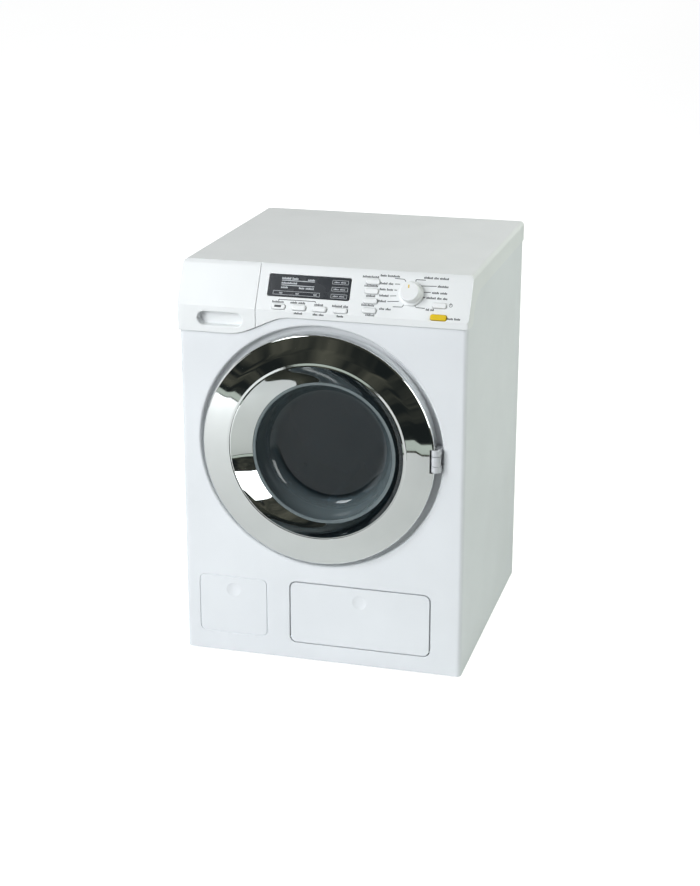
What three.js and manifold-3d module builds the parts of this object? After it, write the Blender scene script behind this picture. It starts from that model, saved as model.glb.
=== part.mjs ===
// Toy front-loading washing machine with working door, drum, drawer, flap, dial and push buttons
// Units are millimetres, +Z is up, the front faces -Y, and the origin is the centre of the footprint
// Depths named in this file are measured back from the cabinet's front face

import * as THREE from 'three';
import { mergeVertices } from 'three/addons/utils/BufferGeometryUtils.js';
import Module from 'manifold-3d';

const wasm = await Module();
wasm.setup();

// Overall sizes
const overallHeight = 260;
const coverOverhang = 0.6;
const bodyWidth = 183.8;
const bodyDepth = 184.1;
const bodyBottom = 1.2;
const wall = 2.4;
const coverWall = 2.2;
const bodyCornerRadius = 3;
const coverCornerRadius = 1.6;
const coverEdgeRadius = 3;

// Clearances
const snugGap = 0.1;
const fitGap = 0.3;
const seamGap = 0.5;
const runGap = 0.7;
const overrun = 2;

// Facets on round pieces
const largeFacets = 40;
const mediumFacets = 24;
const smallFacets = 10;
const arcFacets = 3;
const keyFacets = 1;
const funnelSteps = 4;
const bowlSteps = 6;

// Control panel slope at the top front
const panelProud = 1.8;
const panelRun = 13.05;
const panelRise = 23.8;
const plateChamfer = 2.2;
const skirtHeight = 13;
const lowerFaceHeight = 4.1;
const sideSeamFoot = 8;
const sideSeamStep = 6;
const sideSeamRun = 35;

// Drawer front and the wavy seam below it
const drawerRightShare = -0.22324;
const drawerDrop = 12.5;
const waveStartShare = -0.32432;
const waveEndShare = -0.10541;
const waveLowShare = 0.395;
const waveHighShare = 0.674;
const drawerPlate = 2.8;

// Drawer handle recess, tray and housing
const handleInsetLeft = 13.4;
const handleInsetRight = 8.7;
const handleDrop = 8.1;
const handleHeight = 8.5;
const handleDepth = 6;
const pocketWall = 1.6;
const trayInsetLeft = 2.5;
const trayInsetRight = 3.7;
const trayFront = 11;
const trayLength = 60;
const trayDrop = 9.3;
const trayHeight = 17;
const trayWall = 1.4;
const trayDividerShare = 0.62;
const housingFront = 13.5;
const housingLength = 66;
const housingWall = 1.4;
const ceilingDrop = 14;

// Door recess and door
const doorCenterX = -0.8;
const doorTopMargin = 4.8;
const doorLowMargin = 13.1;
const doorSideMargin = 13.1;
const recessDepth = 6;
const mouthMargin = 7.6;
const ringMargin = 3.8;
const ringBackDepth = 4.6;
const ringWall = 2.2;
const lipProud = 5.9;
const lipRound = 1.6;
const ringFaceWidth = 18.7;
const ridgeProud = 9.3;
const ridgeFlat = 0.3;
const funnelWidth = 9.9;
const funnelSag = 0.5;
const throatDepth = 1.8;
const throatShiftX = 1.6;
const throatShiftZ = -3.5;
const backRingThickness = 2.7;
const glassThickness = 2;
const glassFlange = 3;
const glassFlangeThickness = 1.5;
const bowlDepth = 22;
const bowlCurve = 11.9;

// Door hinge and catch
const hingeOffset = 0.15;
const hingeProud = 3.2;
const hingeBlockWidth = 6.1;
const hingeBlockHeight = 14.6;
const hingeLugHeight = 4;
const hingePinRadius = 1.1;
const hingeArmLength = 14;
const hingeArmThickness = 3;
const hingeNotchGap = 0.6;
const hookInset = 5.5;
const hookWidth = 5;
const hookHeight = 10;
const hookReach = 15;
const hookFlangeHeight = 14;
const hookFlangeLip = 2;
const catchDepth = 12;
const catchWall = 1.6;
const catchSwing = 1.3;

// Tub, drum and seal
const tubMargin = 7.4;
const tubWall = 1.8;
const driveRoom = 69.5;
const tubLugReach = 8;
const tubLugWidth = 10;
const drumMargin = 5.4;
const drumWall = 1.8;
const drumFront = 26;
const drumBackGap = 5;
const drumMouthStep = 6.5;
const hubRadius = 9;
const hubLength = 7;
const lifterCount = 3;
const lifterHeight = 11;
const lifterBase = 14;
const lifterTop = 5;
const lifterInset = 5;
const drumHoleRadius = 1.9;
const drumHoleColumns = 9;
const drumHoleRows = 3;
const sealThickness = 3.6;
const sealLip = 3.2;
const sealLipThickness = 0.6;
const sealDepth = 20;

// Gear drive
const shaftRadius = 3;
const bearingRadius = 6.1;
const bearingLength = 6.5;
const gearModule = 1.2;
const drumTeeth = 44;
const pinionTeeth = 16;
const addendumShare = 0.8;
const dedendumShare = 1.2;
const pressureAngle = THREE.MathUtils.degToRad(20);
const backlash = 0.36;
const gearGap = 5.5;
const gearThickness = 5;
const gearboxGap = 3;
const gearboxWall = 1.8;
const gearboxRoom = 1.7;
const tubHubGap = 1.2;
const motorRadius = 12;
const motorLength = 30;
const motorShaftRadius = 1.6;
const motorShaftGrip = 6;
const motorBossRadius = 3.4;

// Service flap and the moulded blank panel
const flapInset = 20.9;
const flapSpacing = 15.5;
const flapLow = 13;
const flapHeight = 41.4;
const flapRadius = 4;
const flapThickness = 2.2;
const flapAxisDepth = 1.2;
const flapAxisHeight = 3;
const flapPinRadius = 0.7;
const flapPinLength = 2.2;
const bayDepth = 28;
const bayWall = 1.6;
const bayFlange = 3.6;
const blankInset = 9.3;
const blankWidth = 46.3;
const blankLow = 14;
const blankHeight = 40.2;
const grooveWidth = 0.8;
const grooveDepth = 0.7;
const dimpleRadius = 4.8;
const dimpleDepth = 0.8;
const dimpleDrop = 9.4;

// Display, push buttons and circuit board on the slope
const displayLeftShare = -0.18757;
const displayWidthShare = 0.28;
const displayLow = 9.3;
const displayHeight = 13.8;
const displayInset = 0.2;
const displayLip = 1;
const displayLipThickness = 0.8;
const buttonWidth = 8.6;
const buttonHeight = 3.2;
const buttonRadius = 1.2;
const buttonProud = 1.3;
const buttonTravel = 1.1;
const buttonLip = 0.4;
const buttonLipThickness = 1;
const buttonStemShare = 0.4;
const rowLeftShare = -0.14378;
const rowPitchShare = 0.07097;
const rowHeight = 2.6;
const rowCount = 4;
const columnShare = 0.16595;
const columnPitch = 6.05;
const columnLow = 3.9;
const columnCount = 4;
const powerShare = 0.3973;
const powerHeight = 9.8;
const openShare = 0.39838;
const openHeight = 2.4;
const openWidth = 9.8;
const openTall = 3.4;
const boardInset = 9;
const boardThickness = 1.6;
const boardInsetLeft = 1.3;
const boardInsetRight = 4.9;
const boardLow = 2;
const boardHigh = 25.2;
const boardPostRadius = 1.6;
const boardPostInset = 2;
const switchThickness = 1.4;
const switchWidth = 4.4;

// Programme dial
const dialShare = 0.29946;
const dialHeight = 15.9;
const dialBaseRadius = 7.7;
const dialCapRadius = 5.9;
const dialProud = 7.2;
const dialSkirt = 1.5;
const dialRound = 0.6;
const dialShaftRadius = 1.8;
const dialShaftTopShare = 0.7;
const dialSwitchSize = 12;
const dialSwitchTop = 4.4;
const pointerLength = 2.6;
const pointerWidth = 0.9;
const pointerThickness = 0.3;

// Back panel, base, feet and fasteners
const backThickness = 2.4;
const backInset = 0.2;
const baseThickness = 2.2;
const baseLift = 0.4;
const footRadius = 7;
const footThickness = 1.3;
const footPlugRadius = 2.2;
const footPlugHeight = 3.6;
const footInsetX = 14;
const footInsetY = 16;
const bossSize = 8;
const bossLength = 20;
const bossHeightShares = [0.045, 0.955];
const screwHeadRadius = 3;
const screwHeadThickness = 1.5;
const screwShaftRadius = 1.2;
const screwLength = 14;
const screwSlotWidth = 0.9;
const screwSlotDepth = 0.6;
const speakerInset = 37.5;
const speakerDrop = 47;
const speakerRadius = 20;
const speakerDepth = 4;
const magnetRadius = 10;
const magnetDepth = 7;
const soundHoleRadius = 1.3;
const soundRingRadius = 10;
const soundHoleCount = 8;
const tabLength = 8;
const tabReach = 6;
const tabThickness = 1.6;
const tabShares = [0.5, 0.86];

// Battery compartment
const cellRadius = 13.1;
const cellLength = 50;
const cellNubRadius = 3.4;
const cellNubHeight = 1.5;
const cellCount = 4;
const cellPitch = 27;
const boxWall = 2;
const stripThickness = 0.6;
const batteryCoverLap = 1.2;
const batteryTabWidth = 12;
const batteryTabHeight = 8;

// Values worked out from the driving sizes
const coverWidth = bodyWidth + coverOverhang * 2;
const frontY = -(bodyDepth + ridgeProud) / 2 + ridgeProud;
const backY = frontY + bodyDepth;
const panelLean = Math.atan2(panelRun, panelRise);
const creaseHeight = overallHeight - plateChamfer - panelRise;
const plateEdgeDepth = panelRun - panelProud + plateChamfer;
const panelSeam = creaseHeight - lowerFaceHeight;
const sideSeam = overallHeight - skirtHeight;
const innerHalfWidth = bodyWidth / 2 - wall;
const baseBottom = bodyBottom + baseLift;
const baseTop = baseBottom + baseThickness;
const backPanelFront = bodyDepth - backInset - backThickness;

// Drawer, its handle and tray, hung from the panel and the left side
const drawerRight = coverWidth * drawerRightShare;
const waveStart = coverWidth * waveStartShare;
const waveEnd = coverWidth * waveEndShare;
const handleLeft = -coverWidth / 2 + handleInsetLeft;
const handleRight = drawerRight - handleInsetRight;
const handleLow = panelSeam - handleDrop;
const trayLeft = -innerHalfWidth + trayInsetLeft;
const trayRight = drawerRight - trayInsetRight;
const trayBase = panelSeam - trayDrop;
const housingCeiling = overallHeight - ceilingDrop;

// Flap and blank panel, set in from the sides
const blankLeft = -bodyWidth / 2 + blankInset;
const flapLeft = blankLeft + blankWidth + flapSpacing;
const flapWidth = bodyWidth / 2 - flapInset - flapLeft;
const flapAxisZ = flapLow + flapAxisHeight;

// Door recess as large as the room above the flap and between the sides allows
const recessLow = flapLow + flapHeight + doorLowMargin;
const recessRadius = Math.min(
  (panelSeam - doorTopMargin - recessLow) / 2, bodyWidth / 2 - doorSideMargin);
const doorCenterZ = recessLow + recessRadius;

// Rings inside each other, from the recess in to the floor of the bowl and out to the tub
const ringRadius = recessRadius - ringMargin;
const ridgeRadius = ringRadius - ringFaceWidth;
const throatRadius = ridgeRadius - funnelWidth;
const bowlFloorRadius = throatRadius - bowlCurve;
const mouthRadius = throatRadius + mouthMargin;
const sealInner = mouthRadius - sealThickness;
const tubRadius = mouthRadius + tubMargin;
const drumRadius = tubRadius - drumMargin;
const drumMouthRadius = drumRadius - drumMouthStep;
const backRingFront = throatDepth + fitGap;
const hingeX = doorCenterX + ringRadius + hingeOffset;
const hingeBlockLow = doorCenterZ + fitGap / 2 - hingeBlockHeight / 2;
const hookTipX = doorCenterX - ringRadius + hookInset;

// Drum and drive, placed from the back
const tubBack = backPanelFront - driveRoom;
const drumBack = tubBack - drumBackGap;
const gearDepth = tubBack + gearGap;
const gearboxBack = gearDepth + gearThickness + gearboxRoom;
const tubHubEnd = gearDepth - tubHubGap;
const drumGearRadius = gearModule * drumTeeth / 2;
const pinionRadius = gearModule * pinionTeeth / 2;
const pinionZ = doorCenterZ - drumGearRadius - pinionRadius;

// Places across the panel, which spread with the cover
const displayLeft = coverWidth * displayLeftShare;
const displayWidth = coverWidth * displayWidthShare;
const rowLeft = coverWidth * rowLeftShare;
const rowPitch = coverWidth * rowPitchShare;
const columnX = coverWidth * columnShare;
const dialX = coverWidth * dialShare;
const powerX = coverWidth * powerShare;
const openX = coverWidth * openShare;
const boardLeft = drawerRight + boardInsetLeft;
const boardRight = coverWidth / 2 - boardInsetRight;
const speakerX = innerHalfWidth - speakerInset;
const speakerZ = sideSeam - speakerDrop;

// Colours and finishes
const finishes = {
  white: { color: 0xe3e7ea, roughness: 0.38, metalness: 0 },
  cover: { color: 0xe9edef, roughness: 0.35, metalness: 0 },
  grey: { color: 0xb9bfc2, roughness: 0.45, metalness: 0 },
  dark: { color: 0x33383c, roughness: 0.5, metalness: 0 },
  chrome: { color: 0xd8dadb, roughness: 0.08, metalness: 1 },
  smoke: { color: 0x39434b, roughness: 0.1, metalness: 0 },
  display: { color: 0x3a3f44, roughness: 0.12, metalness: 0 },
  yellow: { color: 0xe8bd10, roughness: 0.4, metalness: 0 },
  drum: { color: 0x9da3a6, roughness: 0.35, metalness: 0 },
  steel: { color: 0xa9adb0, roughness: 0.3, metalness: 1 },
  brass: { color: 0xc2a24c, roughness: 0.35, metalness: 1 },
  board: { color: 0x2d6b46, roughness: 0.5, metalness: 0 },
  rubber: { color: 0x55595c, roughness: 0.85, metalness: 0 },
  cell: { color: 0x24507a, roughness: 0.4, metalness: 0 },
};

// Geometry helpers

function enclosedVolume(positions, triangles) {
  const [a, b, c] = [new THREE.Vector3(), new THREE.Vector3(), new THREE.Vector3()];
  let total = 0;
  for (let i = 0; i < triangles.length; i += 3) {
    a.fromArray(positions, triangles[i] * 3);
    b.fromArray(positions, triangles[i + 1] * 3);
    c.fromArray(positions, triangles[i + 2] * 3);
    total += a.dot(b.cross(c));
  }
  return total / 6;
}

// A closed three.js geometry as a solid, with shared corners merged and faces turned outward
function toSolid(geometry) {
  const bare = geometry.clone();
  for (const name of Object.keys(bare.attributes)) {
    if (name !== 'position') bare.deleteAttribute(name);
  }
  const merged = mergeVertices(bare);
  const corners = merged.attributes.position.array;
  const triangles = [];
  for (let i = 0; i < merged.index.count; i += 3) {
    const [a, b, c] = [0, 1, 2].map((step) => merged.index.getX(i + step));
    if (a !== b && b !== c && c !== a) triangles.push(a, b, c);
  }
  if (enclosedVolume(corners, triangles) < 0) triangles.reverse();
  return new wasm.Manifold(new wasm.Mesh({
    numProp: 3,
    vertProperties: new Float32Array(corners),
    triVerts: new Uint32Array(triangles),
  }));
}

function toGeometry(solid) {
  const mesh = solid.getMesh();
  const geometry = new THREE.BufferGeometry();
  geometry.setAttribute('position', new THREE.BufferAttribute(mesh.vertProperties, 3));
  geometry.setIndex(new THREE.BufferAttribute(mesh.triVerts, 1));
  geometry.computeVertexNormals();
  return geometry;
}

function joined(first, ...others) {
  return others.reduce((whole, other) => whole.add(other), first);
}

function cutBy(first, ...tools) {
  return tools.reduce((whole, tool) => whole.subtract(tool), first);
}

function block([x0, x1], [y0, y1], [z0, z1]) {
  const geometry = new THREE.BoxGeometry(x1 - x0, y1 - y0, z1 - z0);
  return toSolid(geometry.translate((x0 + x1) / 2, (y0 + y1) / 2, (z0 + z1) / 2));
}

// A block given by depths behind the front face
function blockAt(xs, [d0, d1], zs) {
  return block(xs, [frontY + d0, frontY + d1], zs);
}

function extruded(shape, length, facets = arcFacets) {
  return new THREE.ExtrudeGeometry(shape, { depth: length, bevelEnabled: false, curveSegments: facets });
}

// A front view (x, z) carried from depth d0 to depth d1
function frontPrism(shape, [d0, d1], facets = arcFacets) {
  const geometry = extruded(shape, d1 - d0, facets).rotateX(Math.PI / 2);
  return toSolid(geometry.translate(0, frontY + d1, 0));
}

// A side view (depth, z) carried from x0 to x1
function sidePrism(shape, [x0, x1]) {
  const turn = new THREE.Matrix4().makeBasis(
    new THREE.Vector3(0, 1, 0), new THREE.Vector3(0, 0, 1), new THREE.Vector3(1, 0, 0));
  return toSolid(extruded(shape, x1 - x0).applyMatrix4(turn).translate(x0, frontY, 0));
}

// A plan view (x, depth) carried from z0 to z1
function planPrism(shape, [z0, z1]) {
  return toSolid(extruded(shape, z1 - z0).translate(0, frontY, z0));
}

// A profile of (radius, depth) turned about the door axis
function turned(points, facets = largeFacets, centerX = doorCenterX, centerZ = doorCenterZ) {
  const profile = points.map(([radius, depth]) => new THREE.Vector2(radius, depth));
  const geometry = new THREE.LatheGeometry(profile, facets);
  return toSolid(geometry.translate(centerX, frontY, centerZ));
}

function ringProfile(inner, outer, [d0, d1]) {
  return [[inner, d0], [outer, d0], [outer, d1], [inner, d1], [inner, d0]];
}

function disc(radius, depths, facets = largeFacets, centerX = doorCenterX, centerZ = doorCenterZ) {
  const [d0, d1] = depths;
  return turned([[0, d0], [radius, d0], [radius, d1], [0, d1]], facets, centerX, centerZ);
}

// A rod along the height of the machine, at a place given by x and depth
function uprightRod(radius, [z0, z1], x, depth, facets = smallFacets) {
  const geometry = new THREE.CylinderGeometry(radius, radius, z1 - z0, facets).rotateX(Math.PI / 2);
  return toSolid(geometry.translate(x, frontY + depth, (z0 + z1) / 2));
}

// A closed outline through straight points
function outline(points) {
  return new THREE.Shape(points.map(([a, b]) => new THREE.Vector2(a, b)));
}

// A rectangle with rounded corners between two opposite corners
function roundedRect([a0, a1], [b0, b1], radius) {
  const shape = new THREE.Shape();
  shape.moveTo(a0 + radius, b0);
  shape.lineTo(a1 - radius, b0);
  shape.absarc(a1 - radius, b0 + radius, radius, -Math.PI / 2, 0, false);
  shape.lineTo(a1, b1 - radius);
  shape.absarc(a1 - radius, b1 - radius, radius, 0, Math.PI / 2, false);
  shape.lineTo(a0 + radius, b1);
  shape.absarc(a0 + radius, b1 - radius, radius, Math.PI / 2, Math.PI, false);
  shape.lineTo(a0, b0 + radius);
  shape.absarc(a0 + radius, b0 + radius, radius, Math.PI, Math.PI * 3 / 2, false);
  return shape;
}

function node(name, solid, finish) {
  const mesh = new THREE.Mesh(toGeometry(solid), new THREE.MeshStandardMaterial(finishes[finish]));
  mesh.name = name;
  return mesh;
}

// The slope's own frame: x along the panel, y up the slope from the crease, z out of the face
const panelFrame = new THREE.Group();
panelFrame.position.set(0, frontY - panelProud, creaseHeight);
panelFrame.rotation.x = Math.PI / 2 - panelLean;
panelFrame.updateMatrix();

function onPanel(geometry) {
  return toSolid(geometry.applyMatrix4(panelFrame.matrix));
}

function panelPrism(shape, [h0, h1]) {
  return extruded(shape, h1 - h0, keyFacets).translate(0, 0, h0);
}

// Outline of the front of cover and drawer, set back from the outer face by an inset
function frontCorners(inset) {
  const lean = { sin: Math.sin(panelLean), cos: Math.cos(panelLean) };
  const face = inset - panelProud;
  const creaseClimb = (inset - inset * lean.cos) / lean.sin;
  const edgeClimb = (plateEdgeDepth + panelProud - inset * lean.cos) / lean.sin;
  const heightAt = (climb) => creaseHeight - inset * lean.sin + climb * lean.cos;
  return { face, crease: heightAt(creaseClimb), edge: heightAt(edgeClimb), lean };
}

// Everything in front of a line that follows the panel, set back by an inset
function frontZone(inset, low) {
  const { face, crease, edge } = frontCorners(inset);
  return outline([
    [-ridgeProud, low], [face, low], [face, crease], [plateEdgeDepth, edge],
    [plateEdgeDepth, overallHeight + overrun], [-ridgeProud, overallHeight + overrun],
  ]);
}

// Everything in front of the machine's face that lies above the wavy front seam
function aboveWave(lower) {
  const low = panelSeam - drawerDrop - lower;
  const high = panelSeam - lower;
  const across = waveEnd - waveStart;
  const shape = new THREE.Shape();
  shape.moveTo(-coverWidth, low);
  shape.lineTo(waveStart, low);
  shape.bezierCurveTo(waveStart + across * waveLowShare, low, waveStart + across * waveHighShare, high,
    waveEnd, high);
  shape.lineTo(coverWidth, high);
  shape.lineTo(coverWidth, overallHeight + overrun);
  shape.lineTo(-coverWidth, overallHeight + overrun);
  return shape;
}

// Side view of what belongs to the top cover, down to the seam that dips at the front
function aboveSideSeam(lower) {
  const low = panelSeam - lower;
  const high = sideSeam - lower;
  const turn = sideSeamFoot + sideSeamStep;
  const shape = new THREE.Shape();
  shape.moveTo(-bodyDepth, low);
  shape.lineTo(sideSeamFoot, low);
  shape.quadraticCurveTo(turn, low, turn, low + sideSeamStep);
  shape.bezierCurveTo(turn, high - sideSeamStep, sideSeamRun - sideSeamStep, high, sideSeamRun, high);
  shape.lineTo(bodyDepth + overrun, high);
  shape.lineTo(bodyDepth + overrun, overallHeight + overrun);
  shape.lineTo(-bodyDepth, overallHeight + overrun);
  return shape;
}

// Cabinet with front wall and sides

function cabinetShell() {
  const outer = planPrism(
    roundedRect([-bodyWidth / 2, bodyWidth / 2], [0, bodyDepth], bodyCornerRadius),
    [bodyBottom, sideSeam - seamGap]);
  const inside = blockAt([-innerHalfWidth, innerHalfWidth], [wall, bodyDepth + overrun],
    [0, overallHeight]);
  const sideCut = sidePrism(aboveSideSeam(seamGap), [-bodyWidth, bodyWidth]);
  const waveCut = frontPrism(aboveWave(seamGap), [-overrun, drawerPlate - panelProud + seamGap]);
  const drawerWay = frontPrism(aboveWave(seamGap), [-overrun, wall + overrun])
    .intersect(blockAt([-innerHalfWidth, drawerRight], [-bodyDepth, bodyDepth], [0, overallHeight * 2]));
  const dish = disc(recessRadius + wall, [wall / 2, recessDepth + wall]);
  const shell = joined(cutBy(outer, inside, sideCut, waveCut, drawerWay), dish, ...cornerBosses());
  return cutBy(shell,
    disc(recessRadius, [-overrun, recessDepth]),
    disc(mouthRadius, [0, recessDepth + wall + overrun]),
    blockAt(...hookSlot(catchSwing), [recessDepth - overrun, recessDepth + wall + overrun],
      hookSpan(hookHeight + catchSwing)),
    flapOpening(),
    blankGroove(),
    dimple(blankLeft + blankWidth / 2, blankLow + blankHeight - dimpleDrop, 0),
    ...bossHoles());
}

function screwPlaces() {
  const x = innerHalfWidth - bossSize / 2;
  const panelSpan = sideSeam - seamGap - baseTop;
  const places = [];
  for (const side of [-1, 1]) {
    for (const share of bossHeightShares) places.push([side * x, baseTop + panelSpan * share]);
  }
  return places;
}

function cornerBosses() {
  const half = bossSize / 2;
  return screwPlaces().map(([x, z]) => blockAt(
    [x - half - (x < 0 ? wall / 2 : 0), x + half + (x > 0 ? wall / 2 : 0)],
    [backPanelFront - fitGap - bossLength, backPanelFront - fitGap], [z - half, z + half]));
}

function bossHoles() {
  return screwPlaces().map(([x, z]) => disc(screwShaftRadius + fitGap,
    [backPanelFront - screwLength - fitGap, backPanelFront + overrun], smallFacets, x, z));
}

// Opening for the flap, with a blind slot behind each end for its pin
function flapOpening() {
  const right = flapLeft + flapWidth;
  const opening = frontPrism(
    roundedRect([flapLeft - runGap, right + runGap], [flapLow - runGap, flapLow + flapHeight + runGap],
      flapRadius + runGap),
    [-overrun, wall + overrun]);
  const reach = flapPinLength + seamGap;
  const high = flapPinRadius + fitGap;
  const slots = blockAt([flapLeft - reach, right + reach],
    [flapAxisDepth - flapPinRadius - snugGap, wall + overrun], [flapAxisZ - high, flapAxisZ + high]);
  return opening.add(slots);
}

// Shallow groove that draws the outline of a blank panel
function blankGroove() {
  const [left, right] = [blankLeft, blankLeft + blankWidth];
  const [low, high] = [blankLow, blankLow + blankHeight];
  const outer = frontPrism(roundedRect([left, right], [low, high], flapRadius), [-overrun, grooveDepth]);
  const inner = frontPrism(
    roundedRect([left + grooveWidth, right - grooveWidth], [low + grooveWidth, high - grooveWidth],
      flapRadius - grooveWidth),
    [-overrun * 2, grooveDepth + overrun]);
  return outer.subtract(inner);
}

// Ball that leaves a shallow round dimple in a front face at the given depth
function dimple(x, z, depth) {
  const ball = (dimpleRadius ** 2 + dimpleDepth ** 2) / (2 * dimpleDepth);
  const geometry = new THREE.SphereGeometry(ball, largeFacets, largeFacets).rotateX(Math.PI / 2);
  const cap = frontPrism(outline([
    [x - dimpleRadius * 2, z - dimpleRadius * 2], [x + dimpleRadius * 2, z - dimpleRadius * 2],
    [x + dimpleRadius * 2, z + dimpleRadius * 2], [x - dimpleRadius * 2, z + dimpleRadius * 2],
  ]), [depth - overrun, depth + dimpleDepth + overrun]);
  return toSolid(geometry.translate(x, frontY + depth + dimpleDepth - ball, z)).intersect(cap);
}

// Top cover with the control panel

function coverBlank(inset) {
  const half = coverWidth / 2 - inset;
  const { face, crease, lean } = frontCorners(inset);
  const top = overallHeight - inset;
  const slopeTop = inset ? top : overallHeight - plateChamfer;
  const climb = (slopeTop - crease) / lean.cos;
  const slopeEnd = face + climb * lean.sin;
  const points = [[face, 0], [face, crease], [slopeEnd, slopeTop]];
  if (!inset) points.push([plateEdgeDepth, overallHeight]);
  const side = outline([...points, [bodyDepth, top], [bodyDepth, 0]]);
  const radius = inset ? coverEdgeRadius - inset : coverEdgeRadius;
  const front = roundedRect([-half, half], [-radius, top], radius);
  const plan = roundedRect([-half, half], [face, bodyDepth - inset], inset ? coverWall : coverCornerRadius);
  return sidePrism(side, [-half, half])
    .intersect(frontPrism(front, [-ridgeProud, bodyDepth + overrun]))
    .intersect(planPrism(plan, [0, overallHeight]));
}

function coverEnvelope() {
  const wave = frontPrism(aboveWave(0), [-ridgeProud, sideSeamFoot / 2]);
  const skirt = sidePrism(aboveSideSeam(0), [-coverWidth, coverWidth]);
  return wave.add(skirt);
}

function topCover() {
  const hollow = coverBlank(coverWall);
  const shell = coverBlank(0).intersect(coverEnvelope()).subtract(hollow);
  const drawerZone = sidePrism(frontZone(drawerPlate + seamGap, 0),
    [-coverWidth, drawerRight + seamGap / 2]);
  const trimmed = cutBy(shell, drawerZone, lowerLedge());
  return cutBy(joined(trimmed, ...coverTabs(), ...boardPosts()), ...panelHoles());
}

// Front walls may hang over the cabinet front but not into its walls
function lowerLedge() {
  return blockAt([-coverWidth, coverWidth], [coverWall - panelProud + fitGap, sideSeamFoot],
    [0, panelSeam]);
}

function coverTabs() {
  const outer = innerHalfWidth - fitGap;
  const tabs = [];
  for (const side of [-1, 1]) {
    for (const share of tabShares) {
      const depths = [bodyDepth * share - tabLength / 2, bodyDepth * share + tabLength / 2];
      const spanX = (from, to) => (side > 0 ? [from, to] : [-to, -from]);
      tabs.push(blockAt(spanX(outer - tabThickness, outer), depths,
        [sideSeam - tabReach, sideSeam + tabReach]));
      tabs.push(blockAt(spanX(outer - tabThickness, coverWidth / 2 - coverWall / 2), depths,
        [sideSeam + seamGap, sideSeam + tabReach]));
    }
  }
  return tabs;
}

function boardPosts() {
  const length = boardInset - fitGap - coverWall / 2;
  const places = [];
  for (const u of [boardLeft + boardPostInset, boardRight - boardPostInset]) {
    for (const v of [boardLow + boardPostInset, boardHigh - boardPostInset]) places.push([u, v]);
  }
  return places.map(([u, v]) => {
    const post = new THREE.CylinderGeometry(boardPostRadius, boardPostRadius, length, smallFacets);
    return onPanel(post.rotateX(Math.PI / 2).translate(u, v, -coverWall / 2 - length / 2));
  });
}

function panelHoles() {
  const through = [-coverWall - overrun, overrun];
  const holes = buttonPlaces().map(({ u, v, width, height }) => onPanel(panelPrism(
    roundedRect([u - width / 2 - fitGap, u + width / 2 + fitGap],
      [v - height / 2 - fitGap, v + height / 2 + fitGap], buttonRadius + fitGap), through)));
  holes.push(onPanel(panelPrism(roundedRect(
    [displayLeft - fitGap, displayLeft + displayWidth + fitGap],
    [displayLow - fitGap, displayLow + displayHeight + fitGap], buttonRadius), through)));
  const bore = dialShaftRadius + seamGap;
  const drill = new THREE.CylinderGeometry(bore, bore, coverWall * 2 + overrun, smallFacets);
  holes.push(onPanel(drill.rotateX(Math.PI / 2).translate(dialX, dialHeight, -coverWall / 2)));
  return holes;
}

// Control panel parts

function buttonPlaces() {
  const size = { width: buttonWidth, height: buttonHeight };
  const places = [];
  for (let i = 0; i < rowCount; i += 1) {
    const name = i === 0 ? 'start_button' : `row_button_${i}`;
    places.push({ name, finish: 'cover', u: rowLeft + rowPitch * i, v: rowHeight, ...size });
  }
  for (let i = 0; i < columnCount; i += 1) {
    const name = `side_button_${columnCount - i}`;
    places.push({ name, finish: 'cover', u: columnX, v: columnLow + columnPitch * i, ...size });
  }
  places.push({ name: 'power_button', finish: 'cover', u: powerX, v: powerHeight, ...size });
  places.push({
    name: 'door_button', finish: 'yellow', u: openX, v: openHeight, width: openWidth, height: openTall,
  });
  return places;
}

function pushButton({ name, finish, u, v, width, height }) {
  const lipTop = -coverWall - fitGap;
  const lipLow = lipTop - buttonLipThickness;
  const stemEnd = -boardInset + switchThickness + fitGap + buttonTravel;
  const rect = (grow, radius) => roundedRect(
    [-width / 2 - grow, width / 2 + grow], [-height / 2 - grow, height / 2 + grow], radius);
  const cap = toSolid(panelPrism(rect(0, buttonRadius), [lipTop, buttonProud]));
  const lip = toSolid(panelPrism(rect(buttonLip, buttonRadius), [lipLow, lipTop]));
  const stem = toSolid(panelPrism(rect(-height * buttonStemShare / 2, 0), [stemEnd, lipLow]));
  const mesh = node(name, joined(cap, lip, stem), finish);
  mesh.position.set(u, v, 0);
  return mesh;
}

function displayWindow() {
  const [left, right] = [displayLeft, displayLeft + displayWidth];
  const [low, high] = [displayLow, displayLow + displayHeight];
  const lipTop = -coverWall - fitGap;
  const glass = toSolid(panelPrism(roundedRect([left, right], [low, high], buttonRadius),
    [lipTop, -displayInset]));
  const lip = toSolid(panelPrism(roundedRect([left - displayLip, right + displayLip],
    [low - displayLip, high + displayLip], buttonRadius), [lipTop - displayLipThickness, lipTop]));
  return node('display_window', joined(glass, lip), 'display');
}

function circuitBoard() {
  const top = -boardInset;
  const rect = (left, right, low, high) => outline(
    [[left, low], [right, low], [right, high], [left, high]]);
  const plate = toSolid(panelPrism(rect(boardLeft, boardRight, boardLow, boardHigh),
    [top - boardThickness, top]));
  const half = { width: switchWidth / 2, height: buttonHeight * buttonStemShare };
  const switches = buttonPlaces().map(({ u, v }) => toSolid(panelPrism(
    rect(u - half.width, u + half.width, v - half.height, v + half.height),
    [top - boardThickness / 2, top + switchThickness])));
  return node('circuit_board', joined(plate, ...switches), 'board');
}

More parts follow.
